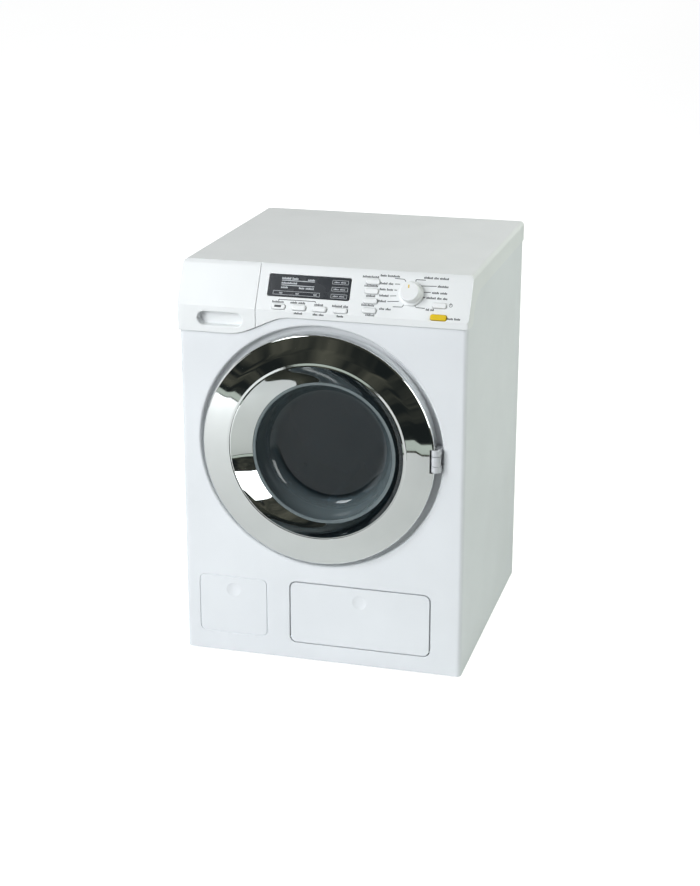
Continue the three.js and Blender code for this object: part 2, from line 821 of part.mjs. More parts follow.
function dialKnob() {
  const lift = fitGap;
  const top = dialProud;
  const body = new THREE.LatheGeometry([
    [0, lift], [dialBaseRadius, lift], [dialBaseRadius, dialSkirt],
    [dialCapRadius + dialRound, dialSkirt + dialRound * 2],
    [dialCapRadius, top - dialRound], [dialCapRadius - dialRound, top], [0, top],
  ].map(([r, h]) => new THREE.Vector2(r, h)), mediumFacets).rotateX(Math.PI / 2);
  const pointerTop = dialCapRadius - dialRound * 2;
  const pointer = toSolid(panelPrism(outline([
    [-pointerWidth / 2, pointerTop - pointerLength], [pointerWidth / 2, pointerTop - pointerLength],
    [pointerWidth / 2, pointerTop], [-pointerWidth / 2, pointerTop],
  ]), [top - pointerThickness, top + pointerThickness]));
  const mesh = node('dial_knob', cutBy(joined(toSolid(body), pointer),
    dialRod(dialShaftRadius + fitGap, -overrun, dialProud * dialShaftTopShare + fitGap)), 'cover');
  mesh.position.set(dialX, dialHeight, 0);
  return mesh;
}

function dialRod(radius, from, to) {
  const rod = new THREE.CylinderGeometry(radius, radius, to - from, smallFacets).rotateX(Math.PI / 2);
  return toSolid(rod.translate(0, 0, (from + to) / 2));
}

function dialShaft() {
  const rod = dialRod(dialShaftRadius, -boardInset + fitGap * 2 + boardThickness / 2,
    dialProud * dialShaftTopShare);
  const mesh = node('dial_shaft', rod, 'steel');
  mesh.position.set(dialX, dialHeight, 0);
  return mesh;
}

function dialSwitch() {
  const half = dialSwitchSize / 2;
  const body = toSolid(panelPrism(roundedRect([-half, half], [-half, half], dialRound),
    [-boardInset + fitGap, -dialSwitchTop]));
  const bore = dialRod(dialShaftRadius + fitGap, -boardInset + fitGap + boardThickness / 2, overrun);
  const mesh = node('dial_switch', body.subtract(bore), 'dark');
  mesh.position.set(dialX, dialHeight, 0);
  return mesh;
}

// Detergent drawer

function drawerFront() {
  const outerX = [-coverWidth / 2, drawerRight - seamGap / 2];
  const plate = drawerPlateBlank().intersect(blockAt(outerX, [-ridgeProud, bodyDepth],
    [0, overallHeight]));
  const pocketOuter = frontPrism(handleShape(pocketWall),
    [-panelProud + drawerPlate / 2, -panelProud + handleDepth + pocketWall]);
  const pocket = frontPrism(handleShape(0), [-panelProud - overrun, -panelProud + handleDepth]);
  return joined(plate, pocketOuter).subtract(pocket);
}

function drawerPlateBlank() {
  const backZone = sidePrism(frontZone(drawerPlate, 0), [-coverWidth, coverWidth]);
  const seam = blockAt([-coverWidth, coverWidth], [plateEdgeDepth - seamGap / 2, bodyDepth],
    [0, overallHeight + overrun]);
  return coverBlank(0).intersect(backZone)
    .intersect(frontPrism(aboveWave(0), [-ridgeProud, bodyDepth]))
    .subtract(seam);
}

function handleShape(grow) {
  const radius = handleHeight / 2 + grow;
  return roundedRect([handleLeft - grow, handleRight + grow],
    [handleLow - grow, handleLow + handleHeight + grow], radius - snugGap);
}

function drawerTray() {
  const depths = [trayFront, trayFront + trayLength];
  const top = trayBase + trayHeight;
  const outer = blockAt([trayLeft, trayRight], depths, [trayBase, top]);
  const divider = trayLeft + (trayRight - trayLeft) * trayDividerShare;
  const inside = ([x0, x1]) => blockAt([x0 + trayWall / 2, x1 - trayWall / 2],
    [trayFront + trayWall, trayFront + trayLength - trayWall], [trayBase + trayWall, top + overrun]);
  const neck = blockAt([handleLeft, handleRight],
    [handleDepth + pocketWall - panelProud + fitGap, trayFront + trayWall / 2],
    [trayBase + trayWall, top - handleHeight]);
  return joined(outer, neck).subtract(inside([trayLeft + trayWall / 2, divider]))
    .subtract(inside([divider, trayRight - trayWall / 2]));
}

function drawerHousing() {
  const outerX = [-innerHalfWidth + fitGap, trayRight + runGap + housingWall];
  const depths = [housingFront, housingFront + housingLength];
  const low = trayBase - fitGap;
  const outer = blockAt(outerX, depths, [low - housingWall, housingCeiling + housingWall]);
  const inside = blockAt([trayLeft - runGap, trayRight + runGap],
    [housingFront - overrun, housingFront + housingLength - housingWall], [low, housingCeiling]);
  return outer.subtract(inside);
}

// Door

function doorFrame() {
  const lip = -lipProud;
  const lipTop = lip + lipRound;
  const blank = turned([
    [throatRadius - throatDepth - ringWall * 2, throatDepth],
    [throatRadius - throatDepth - ringWall * 2, -ridgeProud],
    [ridgeRadius, -ridgeProud],
    [ridgeRadius + lipRound, -ridgeProud + lipRound / 2],
    [ringRadius - lipRound * 3, lip - lipRound / 4],
    [ringRadius - lipRound, lip],
    [ringRadius - lipRound / 4, lip + lipRound / 2],
    [ringRadius, lipTop],
    [ringRadius, ringBackDepth],
    [ringRadius - ringWall, ringBackDepth],
    [ringRadius - ringWall, lipTop + ringWall / 2],
    [ringRadius - lipRound - ringWall, lip + ringWall],
    ...funnelCurve(ringWall, Math.hypot(throatShiftX, throatShiftZ)),
    [throatRadius - throatDepth - ringWall * 2, throatDepth],
  ]);
  return cutBy(blank, funnel(), hingeNotch());
}

// Nearly straight cone from ridge to throat, grown by a wall and by a shift that deepens with it
function funnelCurve(grow, shift) {
  const points = [];
  for (let i = 0; i <= funnelSteps; i += 1) {
    const share = i / funnelSteps;
    const sag = funnelSag * Math.sin(Math.PI * share);
    const radius = THREE.MathUtils.lerp(ridgeRadius - ridgeFlat, throatRadius, share);
    const depth = THREE.MathUtils.lerp(-ridgeProud, throatDepth, share);
    points.push([radius + sag + grow + shift * share, depth + grow * (1 - share)]);
  }
  return points;
}

// Hollow of the door ring, whose circles slide off centre as it deepens
function funnel() {
  const depth = throatDepth + ridgeProud;
  const profile = [
    [0, -ridgeProud - overrun], [ridgeRadius - ridgeFlat, -ridgeProud - overrun],
    ...funnelCurve(0, 0), [throatRadius, throatDepth + overrun], [0, throatDepth + overrun],
  ];
  const points = profile.map(([radius, y]) => new THREE.Vector2(radius, y));
  const geometry = new THREE.LatheGeometry(points, largeFacets);
  const place = geometry.attributes.position;
  for (let i = 0; i < place.count; i += 1) {
    const share = THREE.MathUtils.clamp((place.getY(i) + ridgeProud) / depth, 0, 1);
    place.setX(i, place.getX(i) + throatShiftX * share);
    place.setZ(i, place.getZ(i) + throatShiftZ * share);
  }
  return toSolid(geometry.translate(doorCenterX, frontY, doorCenterZ));
}

function hingeNotch() {
  const half = hingeBlockHeight / 2 + hingeNotchGap;
  const middle = hingeBlockLow + hingeBlockHeight / 2;
  return blockAt([hingeX - hingeBlockWidth / 2 - hingeNotchGap, hingeX + hingeBlockWidth],
    [-ridgeProud, recessDepth], [middle - half, middle + half]);
}

function doorBackRing() {
  const outer = ringRadius - ringWall - fitGap;
  const centerX = doorCenterX + throatShiftX;
  const centerZ = doorCenterZ + throatShiftZ;
  const back = backRingFront + backRingThickness;
  const seat = [backRingFront - overrun, backRingFront + glassFlangeThickness + fitGap];
  return cutBy(disc(outer, [backRingFront, back]),
    disc(throatRadius + seamGap, [backRingFront - overrun, back + overrun], largeFacets, centerX, centerZ),
    disc(throatRadius + glassFlange + fitGap, seat, largeFacets, centerX, centerZ),
    blockAt(...hookSlot(fitGap), [backRingFront - overrun, back + overrun],
      hookSpan(hookHeight + fitGap * 2)),
    hingeNotch());
}

// Bowl of dark glass, with a rim that the back ring clamps
function doorGlass() {
  const steps = bowlSteps;
  const start = backRingFront + glassFlangeThickness;
  const curve = (inset) => Array.from({ length: steps + 1 }, (_, i) => {
    const angle = Math.PI / 2 * i / steps;
    return [
      bowlFloorRadius - inset + (throatRadius - bowlFloorRadius) * Math.cos(angle),
      start + (bowlDepth - start) * Math.sin(angle) - inset * Math.sin(angle),
    ];
  });
  const outer = curve(0);
  const inner = curve(glassThickness);
  return turned([
    [0, inner[steps][1]],
    ...inner.toReversed(),
    [throatRadius - glassThickness, backRingFront],
    [throatRadius + glassFlange, backRingFront],
    [throatRadius + glassFlange, start],
    ...outer,
    [0, bowlDepth],
  ], largeFacets, doorCenterX + throatShiftX, doorCenterZ + throatShiftZ);
}

function hingeArm() {
  const half = (hingeBlockHeight - hingeLugHeight * 2) / 2 - fitGap;
  const middle = hingeBlockLow + hingeBlockHeight / 2;
  const span = [middle - half, middle + half];
  const barrel = uprightRod(hingeBlockWidth / 2, span, hingeX, -hingeProud, mediumFacets);
  const strap = blockAt([hingeX - hingeArmLength, hingeX],
    [backRingFront - fitGap - hingeArmThickness, backRingFront - fitGap], span);
  return cutBy(joined(barrel, strap),
    uprightRod(hingePinRadius + fitGap, [span[0] - overrun, span[1] + overrun], hingeX, -hingeProud));
}

function hingeBlock() {
  const half = hingeBlockWidth / 2;
  const high = hingeBlockLow + hingeBlockHeight;
  const span = [hingeBlockLow, high];
  const body = joined(
    blockAt([hingeX - half, hingeX + half], [-hingeProud, recessDepth - fitGap], span),
    uprightRod(half, span, hingeX, -hingeProud, mediumFacets));
  const room = blockAt([hingeX - hingeBlockWidth, hingeX + hingeBlockWidth],
    [-ridgeProud, recessDepth - fitGap - hingeBlockWidth / 2],
    [hingeBlockLow + hingeLugHeight, high - hingeLugHeight]);
  return cutBy(body, room,
    uprightRod(hingePinRadius + fitGap, [hingeBlockLow - overrun, high + overrun], hingeX, -hingeProud));
}

function hingePin() {
  return uprightRod(hingePinRadius,
    [hingeBlockLow + fitGap, hingeBlockLow + hingeBlockHeight - fitGap], hingeX, -hingeProud);
}

// Slot around the door hook: its span across the machine, widened by a clearance
function hookSlot(clearance) {
  return [[hookTipX - clearance, hookTipX + hookWidth + clearance]];
}

function hookSpan(height) {
  return [doorCenterZ - height / 2, doorCenterZ + height / 2];
}

function doorHook() {
  const flangeBack = backRingFront - fitGap;
  const tongue = blockAt([hookTipX, hookTipX + hookWidth], [flangeBack - hookFlangeLip / 2, hookReach],
    hookSpan(hookHeight));
  const flange = blockAt([hookTipX - hookFlangeLip, hookTipX + hookWidth + hookFlangeLip],
    [flangeBack - hookFlangeLip, flangeBack], hookSpan(hookFlangeHeight));
  return joined(tongue, flange);
}

function doorCatch() {
  const front = recessDepth + wall + fitGap;
  const [[left, right]] = hookSlot(catchSwing);
  const room = hookSpan(hookHeight + catchSwing);
  const body = blockAt([left - catchWall, right + catchWall / 2], [front, front + catchDepth],
    [room[0] - catchWall * 2, room[1] + catchWall * 2]);
  return body.subtract(blockAt([left, right], [front - overrun, front + catchDepth - catchWall], room));
}

// Tub, drum and seal

function doorSeal() {
  const lipBack = recessDepth - fitGap;
  return turned([
    [sealInner, lipBack - sealLipThickness],
    [mouthRadius + sealLip, lipBack - sealLipThickness],
    [mouthRadius + sealLip, lipBack],
    [mouthRadius - fitGap, lipBack],
    [mouthRadius - fitGap, sealDepth],
    [sealInner, sealDepth],
    [sealInner, lipBack - sealLipThickness],
  ]);
}

function tubShell() {
  const front = recessDepth + wall + fitGap;
  const inner = tubRadius - tubWall;
  const lugs = [1, 3, 5, 7].map((eighth) => {
    const lug = new THREE.BoxGeometry(tubLugReach + tubWall, tubWall, tubLugWidth);
    const angle = eighth * Math.PI / 4;
    lug.translate(tubRadius + (tubLugReach - tubWall) / 2, 0, 0).rotateY(angle);
    return toSolid(lug.translate(doorCenterX, frontY + front + tubWall / 2, doorCenterZ));
  });
  const body = turned([
    [mouthRadius + fitGap, front], [tubRadius, front], [tubRadius, tubBack],
    [hubRadius, tubBack], [hubRadius, tubHubEnd], [bearingRadius + fitGap, tubHubEnd],
    [bearingRadius + fitGap, tubBack - tubWall], [inner, tubBack - tubWall], [inner, front + tubWall],
    [mouthRadius + fitGap, front + tubWall], [mouthRadius + fitGap, front],
  ]);
  return joined(body, ...lugs).subtract(disc(inner, [front + tubWall, tubBack - tubWall]));
}

function drumShell() {
  const inner = drumRadius - drumWall;
  const body = turned([
    [drumMouthRadius, drumFront], [drumRadius, drumFront], [drumRadius, drumBack],
    [shaftRadius + fitGap, drumBack], [shaftRadius + fitGap, drumBack - hubLength + drumWall],
    [0, drumBack - hubLength + drumWall], [0, drumBack - hubLength], [hubRadius, drumBack - hubLength],
    [hubRadius, drumBack - drumWall], [inner, drumBack - drumWall], [inner, drumFront + drumWall],
    [drumMouthRadius, drumFront + drumWall], [drumMouthRadius, drumFront],
  ]);
  return cutBy(joined(body, ...drumLifters()), ...drumHoles());
}

function drumLifters() {
  const foot = drumRadius - drumWall / 2;
  const shape = outline([
    [-lifterBase / 2, -foot], [lifterBase / 2, -foot],
    [lifterTop / 2, lifterHeight - foot], [-lifterTop / 2, lifterHeight - foot],
  ]);
  const length = drumBack - drumFront - lifterInset * 2;
  return Array.from({ length: lifterCount }, (_, i) => {
    const rib = extruded(shape, length).rotateX(Math.PI / 2);
    rib.rotateY(i * 2 * Math.PI / lifterCount);
    return toSolid(rib.translate(doorCenterX, frontY + drumFront + lifterInset + length, doorCenterZ));
  });
}

function drumHoles() {
  const holes = [];
  const span = drumBack - drumFront;
  for (let column = 0; column < drumHoleColumns; column += 1) {
    if (column % (drumHoleColumns / lifterCount) === 0) continue;
    for (let row = 0; row < drumHoleRows; row += 1) {
      const depth = drumFront + span * (row + 1) / (drumHoleRows + 1);
      const drill = new THREE.CylinderGeometry(
        drumHoleRadius, drumHoleRadius, (drumWall + overrun) * 2, smallFacets / 2);
      drill.translate(0, -drumRadius, 0).rotateX(Math.PI / 2);
      drill.rotateY(column * 2 * Math.PI / drumHoleColumns);
      holes.push(toSolid(drill.translate(doorCenterX, frontY + depth, doorCenterZ)));
    }
  }
  return holes;
}

function drumShaft() {
  return disc(shaftRadius, [drumBack - hubLength + drumWall + fitGap, gearboxBack - fitGap], mediumFacets);
}

function drumBearing() {
  const depths = [tubHubEnd - bearingLength, tubHubEnd];
  return turned(ringProfile(shaftRadius + fitGap, bearingRadius, depths), mediumFacets);
}

// Gears

// Spur gear outline with involute flanks, thinned by the backlash, with a tooth centred on an angle
function gearOutline(teeth, toothAngle) {
  const pitch = gearModule * teeth / 2;
  const base = pitch * Math.cos(pressureAngle);
  const tip = pitch + gearModule * addendumShare;
  const root = pitch - gearModule * dedendumShare;
  const involute = (radius) => {
    const angle = Math.acos(Math.min(1, base / radius));
    return Math.tan(angle) - angle;
  };
  const halfTooth = (Math.PI * gearModule / 2 - backlash) / 2 / pitch;
  const halfAngle = (radius) => halfTooth + involute(pitch) - involute(Math.max(radius, base));
  const flank = [root, Math.max(root, base), pitch, tip];
  const points = [];
  for (let i = 0; i < teeth; i += 1) {
    const middle = toothAngle + i * 2 * Math.PI / teeth;
    const put = (radius, angle) => points.push([radius * Math.cos(angle), radius * Math.sin(angle)]);
    flank.forEach((radius) => put(radius, middle - halfAngle(radius)));
    flank.toReversed().forEach((radius) => put(radius, middle + halfAngle(radius)));
  }
  const kept = points.filter(([x, z], i) => {
    const [lastX, lastZ] = points[(i + points.length - 1) % points.length];
    return Math.hypot(x - lastX, z - lastZ) > backlash / points.length;
  });
  return outline(kept);
}

function gearSolid(teeth, toothAngle, centerZ) {
  const geometry = extruded(gearOutline(teeth, toothAngle), gearThickness).rotateX(Math.PI / 2);
  return toSolid(geometry.translate(doorCenterX, frontY + gearDepth + gearThickness, centerZ));
}

// The drum gear has a tooth pointing down, and the pinion a gap pointing up
function drumGear() {
  return gearSolid(drumTeeth, -Math.PI / 2, doorCenterZ)
    .subtract(disc(shaftRadius + fitGap, [gearDepth - overrun, gearDepth + gearThickness + overrun],
      mediumFacets));
}

function motorPinion() {
  const shaft = disc(motorShaftRadius,
    [gearDepth + gearThickness / 2, gearboxBack + gearboxWall + fitGap + motorShaftGrip], smallFacets,
    doorCenterX, pinionZ);
  return joined(gearSolid(pinionTeeth, Math.PI / 2 + Math.PI / pinionTeeth, pinionZ), shaft);
}

// Outline of the gearbox: two circles, one round each gear, joined by their tangents
function gearboxOutline(grow) {
  const tip = gearModule * addendumShare + gearboxGap + grow;
  const [large, small] = [drumGearRadius + tip, pinionRadius + tip];
  const tangent = Math.asin((large - small) / (doorCenterZ - pinionZ));
  const shape = new THREE.Shape();
  shape.absarc(doorCenterX, doorCenterZ, large, -tangent, Math.PI + tangent, false);
  shape.absarc(doorCenterX, pinionZ, small, Math.PI + tangent, Math.PI * 2 - tangent, false);
  return shape;
}

function gearboxHousing() {
  const front = tubBack + fitGap;
  const back = gearboxBack + gearboxWall;
  const outer = frontPrism(gearboxOutline(gearboxWall), [front, back], smallFacets);
  const inside = frontPrism(gearboxOutline(0), [front - overrun, gearboxBack], smallFacets);
  return cutBy(outer, inside,
    disc(motorBossRadius, [gearboxBack - overrun, back + overrun], smallFacets, doorCenterX, pinionZ));
}

function driveMotor() {
  const front = gearboxBack + gearboxWall + fitGap;
  const bore = motorShaftRadius + fitGap;
  return turned([
    [bore, front], [motorRadius, front], [motorRadius, front + motorLength],
    [0, front + motorLength], [0, front + motorShaftGrip + fitGap],
    [bore, front + motorShaftGrip + fitGap], [bore, front],
  ], mediumFacets, doorCenterX, pinionZ);
}

// Service flap and bay

function serviceFlap() {
  const right = flapLeft + flapWidth;
  const plate = frontPrism(roundedRect([flapLeft, right], [flapLow, flapLow + flapHeight], flapRadius),
    [0, flapThickness]);
  const pinRoot = flapRadius;
  const pins = [[flapLeft - flapPinLength, flapLeft + pinRoot], [right - pinRoot, right + flapPinLength]]
    .map(([x0, x1]) => {
      const rod = new THREE.CylinderGeometry(flapPinRadius, flapPinRadius, x1 - x0, smallFacets);
      return toSolid(rod.rotateZ(Math.PI / 2).translate((x0 + x1) / 2, frontY + flapAxisDepth, flapAxisZ));
    });
  return joined(plate, ...pins)
    .subtract(dimple(flapLeft + flapWidth / 2, flapLow + flapHeight - dimpleDrop, 0));
}

function dispenserBay() {
  const front = wall + fitGap;
  const [left, right] = [flapLeft + bayWall, flapLeft + flapWidth - bayWall];
  const [low, high] = [flapLow + bayWall * 2, flapLow + flapHeight - bayWall];
  const body = blockAt([left - bayWall, right + bayWall], [front, front + bayDepth],
    [low - bayWall, high + bayWall]);
  const flange = blockAt([left - bayWall - bayFlange, right + bayWall + bayFlange],
    [front, front + bayWall], [low - bayWall - bayFlange, high + bayWall + bayFlange]);
  const inside = blockAt([left, right], [front - overrun, front + bayDepth - bayWall], [low, high]);
  return cutBy(joined(body, flange), inside, flapSwing());
}

// Room behind the cabinet front for the flap's lower edge, which swings back as the flap opens
function flapSwing() {
  const reach = flapAxisDepth + Math.hypot(flapAxisHeight, flapAxisDepth) + fitGap;
  return blockAt([-bodyWidth, bodyWidth], [0, reach],
    [0, flapAxisZ + flapThickness - flapAxisDepth + runGap]);
}

// Back panel, base, feet, screws and speaker

function cellBayWidth() {
  return cellPitch * cellCount;
}

// Heights of the battery compartment: inside floor and inside ceiling
function cellBaySpan() {
  const low = baseTop + fitGap + boxWall;
  return [low, low + cellLength + (stripThickness + fitGap * 2) * 2];
}

function batteryCoverOutline(grow) {
  const half = cellBayWidth() / 2 + batteryCoverLap + grow;
  const [low, high] = cellBaySpan();
  const top = high + batteryCoverLap + grow;
  const tab = batteryTabWidth / 2 + grow;
  return outline([
    [-half, low - grow], [half, low - grow], [half, top], [tab, top],
    [tab, top + batteryTabHeight], [-tab, top + batteryTabHeight], [-tab, top], [-half, top],
  ]);
}

function batteryScrewZ() {
  return cellBaySpan()[1] + batteryCoverLap + batteryTabHeight / 2;
}

function backPanel() {
  const half = innerHalfWidth - fitGap;
  const back = bodyDepth - backInset;
  const plate = blockAt([-half, half], [backPanelFront, back],
    [baseBottom, sideSeam - seamGap]);
  const holes = screwPlaces().map(([x, z]) => joined(
    disc(screwShaftRadius + fitGap, [backPanelFront - overrun, back + overrun], smallFacets, x, z),
    disc(screwHeadRadius + fitGap, [back - screwHeadThickness, back + overrun], smallFacets, x, z)));
  const soundPlaces = [[speakerX, speakerZ]];
  for (let i = 0; i < soundHoleCount; i += 1) {
    const angle = i * 2 * Math.PI / soundHoleCount;
    soundPlaces.push([speakerX + soundRingRadius * Math.cos(angle),
      speakerZ + soundRingRadius * Math.sin(angle)]);
  }
  const sound = soundPlaces.map(([x, z]) => disc(soundHoleRadius,
    [backPanelFront - overrun, back + overrun], smallFacets / 2, x, z));
  return cutBy(plate, frontPrism(batteryCoverOutline(fitGap), [backPanelFront - overrun, back + overrun]),
    ...holes, ...sound);
}

function basePlate() {
  const half = innerHalfWidth - fitGap;
  const plate = blockAt([-half, half], [wall + fitGap, backPanelFront - fitGap], [baseBottom, baseTop]);
  const holes = footPlaces().map(([x, y]) => uprightRod(footPlugRadius + fitGap,
    [baseBottom - overrun, baseTop + overrun], x, y - frontY));
  return cutBy(plate, ...holes);
}

function footPlaces() {
  const x = bodyWidth / 2 - footInsetX;
  return [[-x, frontY + footInsetY], [x, frontY + footInsetY], [-x, backY - footInsetY],
    [x, backY - footInsetY]];
}

function foot() {
  const profile = [[0, 0], [footRadius, 0], [footRadius, footThickness], [footPlugRadius, footThickness],
    [footPlugRadius, footThickness + footPlugHeight], [0, footThickness + footPlugHeight]];
  const geometry = new THREE.LatheGeometry(profile.map(([r, z]) => new THREE.Vector2(r, z)), smallFacets);
  return toSolid(geometry.rotateX(Math.PI / 2));
}

// Screw with its head's outer face at the origin, pointing along -Y
function screw() {
  const profile = [[0, 0], [screwHeadRadius, 0], [screwHeadRadius, -screwHeadThickness + fitGap],
    [screwShaftRadius, -screwHeadThickness + fitGap], [screwShaftRadius, -screwLength], [0, -screwLength]];
  const body = toSolid(new THREE.LatheGeometry(profile.map(([r, y]) => new THREE.Vector2(r, y)),
    smallFacets));
  const reach = screwHeadRadius * 2 / 3;
  const slotY = [-screwSlotDepth, overrun];
  return cutBy(body, block([-screwSlotWidth / 2, screwSlotWidth / 2], slotY, [-reach, reach]),
    block([-reach, reach], slotY, [-screwSlotWidth / 2, screwSlotWidth / 2]));
}

function speaker() {
  const back = backPanelFront - fitGap;
  const middle = back - speakerDepth;
  return turned([
    [0, back], [speakerRadius, back], [speakerRadius, back - speakerDepth / 2],
    [magnetRadius, middle], [magnetRadius, middle - magnetDepth], [0, middle - magnetDepth],
  ], mediumFacets, speakerX, speakerZ);
}

// Battery compartment

function batteryBox() {
  const [low, high] = cellBaySpan();
  const half = cellBayWidth() / 2;
  const back = backPanelFront - fitGap;
  const front = back - cellRadius * 2 - fitGap * 2 - boxWall;
  const outer = blockAt([-half - boxWall, half + boxWall], [front, back], [low - boxWall, high + boxWall]);
  const inside = blockAt([-half, half], [front + boxWall, back + overrun], [low, high]);
  const boss = blockAt([-batteryTabWidth / 2, batteryTabWidth / 2], [back - screwLength, back],
    [high + boxWall / 2, high + batteryCoverLap + batteryTabHeight]);
  return joined(outer.subtract(inside), boss).subtract(disc(screwShaftRadius + fitGap,
    [back - screwLength + boxWall / 2, back + overrun], smallFacets, 0, batteryScrewZ()));
}

function contactStrip() {
  const half = cellBayWidth() / 2 - fitGap;
  return block([-half, half], [-cellRadius / 2, cellRadius / 2], [0, stripThickness]);
}

function battery() {
  const shoulder = cellLength - cellNubHeight;
  const profile = [[0, 0], [cellRadius, 0], [cellRadius, shoulder], [cellNubRadius, shoulder],
    [cellNubRadius, cellLength], [0, cellLength]];
  const geometry = new THREE.LatheGeometry(profile.map(([r, z]) => new THREE.Vector2(r, z)), mediumFacets);
  return toSolid(geometry.rotateX(Math.PI / 2).translate(0, 0, -cellLength / 2));
}

function batteryCover() {
  const back = bodyDepth - backInset;
  const plate = frontPrism(batteryCoverOutline(0), [backPanelFront, back]);
  return cutBy(plate,
    disc(screwShaftRadius + fitGap, [backPanelFront - overrun, back + overrun], smallFacets, 0,
      batteryScrewZ()),
    disc(screwHeadRadius + fitGap, [back - screwHeadThickness, back + overrun], smallFacets, 0,
      batteryScrewZ()));
}

// Assembly

function cabinetGroup() {
  const group = new THREE.Group();
  group.add(
    node('cabinet_shell', cabinetShell(), 'white'),
    node('top_cover', topCover(), 'cover'),
    node('back_panel', backPanel(), 'grey'),
    node('base_plate', basePlate(), 'grey'),
    node('hinge_block', hingeBlock(), 'grey'),
    node('hinge_pin', hingePin(), 'steel'),
    node('door_catch', doorCatch(), 'dark'),
    node('door_seal', doorSeal(), 'rubber'),
    node('tub', tubShell(), 'grey'),
    node('drum_bearing', drumBearing(), 'brass'),
    node('gearbox_housing', gearboxHousing(), 'grey'),
    node('drive_motor', driveMotor(), 'steel'),
    node('drawer_housing', drawerHousing(), 'grey'),
    node('dispenser_bay', dispenserBay(), 'grey'),
    node('speaker', speaker(), 'dark'));
  const footNames = ['front_left_foot', 'front_right_foot', 'rear_left_foot', 'rear_right_foot'];
  footPlaces().forEach(([x, y], i) => {
    const mesh = node(footNames[i], foot(), 'rubber');
    mesh.position.set(x, y, 0);
    group.add(mesh);
  });
  const screwNames = ['left_low', 'left_high', 'right_low', 'right_high'];
  screwPlaces().forEach(([x, z], i) => {
    const mesh = node(`back_screw_${screwNames[i]}`, screw(), 'steel');
    mesh.position.set(x, backY - backInset, z);
    group.add(mesh);
  });
  return group;
}

function batteryGroup() {
  const group = new THREE.Group();
  const [low, high] = cellBaySpan();
  const cellDepth = backPanelFront - fitGap * 2 - cellRadius;
  group.add(node('battery_box', batteryBox(), 'dark'), node('battery_cover', batteryCover(), 'grey'));
  for (let i = 0; i < cellCount; i += 1) {
    const mesh = node(`battery_${i + 1}`, battery(), 'cell');
    mesh.position.set((i - (cellCount - 1) / 2) * cellPitch, frontY + cellDepth, (low + high) / 2);
    mesh.rotation.x = i % 2 ? Math.PI : 0;
    group.add(mesh);
  }
  const lower = node('lower_contact_strip', contactStrip(), 'steel');
  lower.position.set(0, frontY + cellDepth, low + fitGap);
  const upper = node('upper_contact_strip', contactStrip(), 'steel');
  upper.position.set(0, frontY + cellDepth, high - fitGap - stripThickness);
  const fixing = node('battery_cover_screw', screw(), 'steel');
  fixing.position.set(0, backY - backInset, batteryScrewZ());
  group.add(lower, upper, fixing);
  return group;
}

function panelGroup() {
  panelFrame.add(displayWindow(), circuitBoard(), dialKnob(), dialShaft(), dialSwitch());
  panelFrame.add(...buttonPlaces().map(pushButton));
  return panelFrame;
}

function movingGroup() {
  const group = new THREE.Group();
  group.add(
    node('door_frame', doorFrame(), 'chrome'),
    node('door_back_ring', doorBackRing(), 'grey'),
    node('door_glass', doorGlass(), 'smoke'),
    node('door_hinge_arm', hingeArm(), 'grey'),
    node('door_hook', doorHook(), 'grey'),
    node('drum', drumShell(), 'drum'),
    node('drum_shaft', drumShaft(), 'steel'),
    node('drum_gear', drumGear(), 'cover'),
    node('motor_pinion', motorPinion(), 'brass'),
    node('drawer_front', drawerFront(), 'white'),
    node('drawer_tray', drawerTray(), 'grey'),
    node('service_flap', serviceFlap(), 'white'));
  return group;
}

const washingMachine = new THREE.Group();
washingMachine.add(cabinetGroup(), batteryGroup(), panelGroup(), movingGroup());

export default washingMachine;
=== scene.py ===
# %% [markdown]
# Toy washing machine, dressed over its working frame.
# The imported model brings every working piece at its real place, in metres, with +Z up and the door
# facing -Y. Here each visible piece gets its finished shape and surface. The script reads the main
# sizes from the frame, so that each new piece lands on the piece it stands for.

import math

import bmesh
import bpy
from mathutils import Matrix, Vector


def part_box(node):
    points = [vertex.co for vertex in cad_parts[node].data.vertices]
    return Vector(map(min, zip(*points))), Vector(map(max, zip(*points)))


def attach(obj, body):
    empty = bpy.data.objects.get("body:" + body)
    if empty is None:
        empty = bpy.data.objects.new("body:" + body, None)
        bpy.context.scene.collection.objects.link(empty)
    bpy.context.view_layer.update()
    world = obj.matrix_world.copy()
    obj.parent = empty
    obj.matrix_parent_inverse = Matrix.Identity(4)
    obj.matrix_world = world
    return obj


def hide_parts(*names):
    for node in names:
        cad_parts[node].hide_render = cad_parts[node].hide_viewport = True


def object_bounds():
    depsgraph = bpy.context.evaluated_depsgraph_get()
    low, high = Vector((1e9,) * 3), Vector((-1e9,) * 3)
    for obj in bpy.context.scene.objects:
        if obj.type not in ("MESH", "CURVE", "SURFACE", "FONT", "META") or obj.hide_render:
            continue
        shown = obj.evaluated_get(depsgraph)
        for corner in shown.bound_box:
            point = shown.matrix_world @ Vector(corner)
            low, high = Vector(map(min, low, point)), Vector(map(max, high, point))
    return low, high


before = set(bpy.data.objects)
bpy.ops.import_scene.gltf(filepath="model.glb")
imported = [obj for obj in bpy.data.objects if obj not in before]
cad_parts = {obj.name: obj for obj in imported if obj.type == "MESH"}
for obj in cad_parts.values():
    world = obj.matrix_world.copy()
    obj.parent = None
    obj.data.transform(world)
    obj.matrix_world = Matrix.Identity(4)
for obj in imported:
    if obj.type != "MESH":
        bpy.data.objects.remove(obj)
cad_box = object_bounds()

# %% [markdown]
# Sizes. The cabinet is a moulded box with a separate cover on top. Its main sizes come from the boxes
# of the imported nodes. Small sizes, such as wall thicknesses and radii, can't be read from a box, so
# they are written here once, in millimetres times MM.

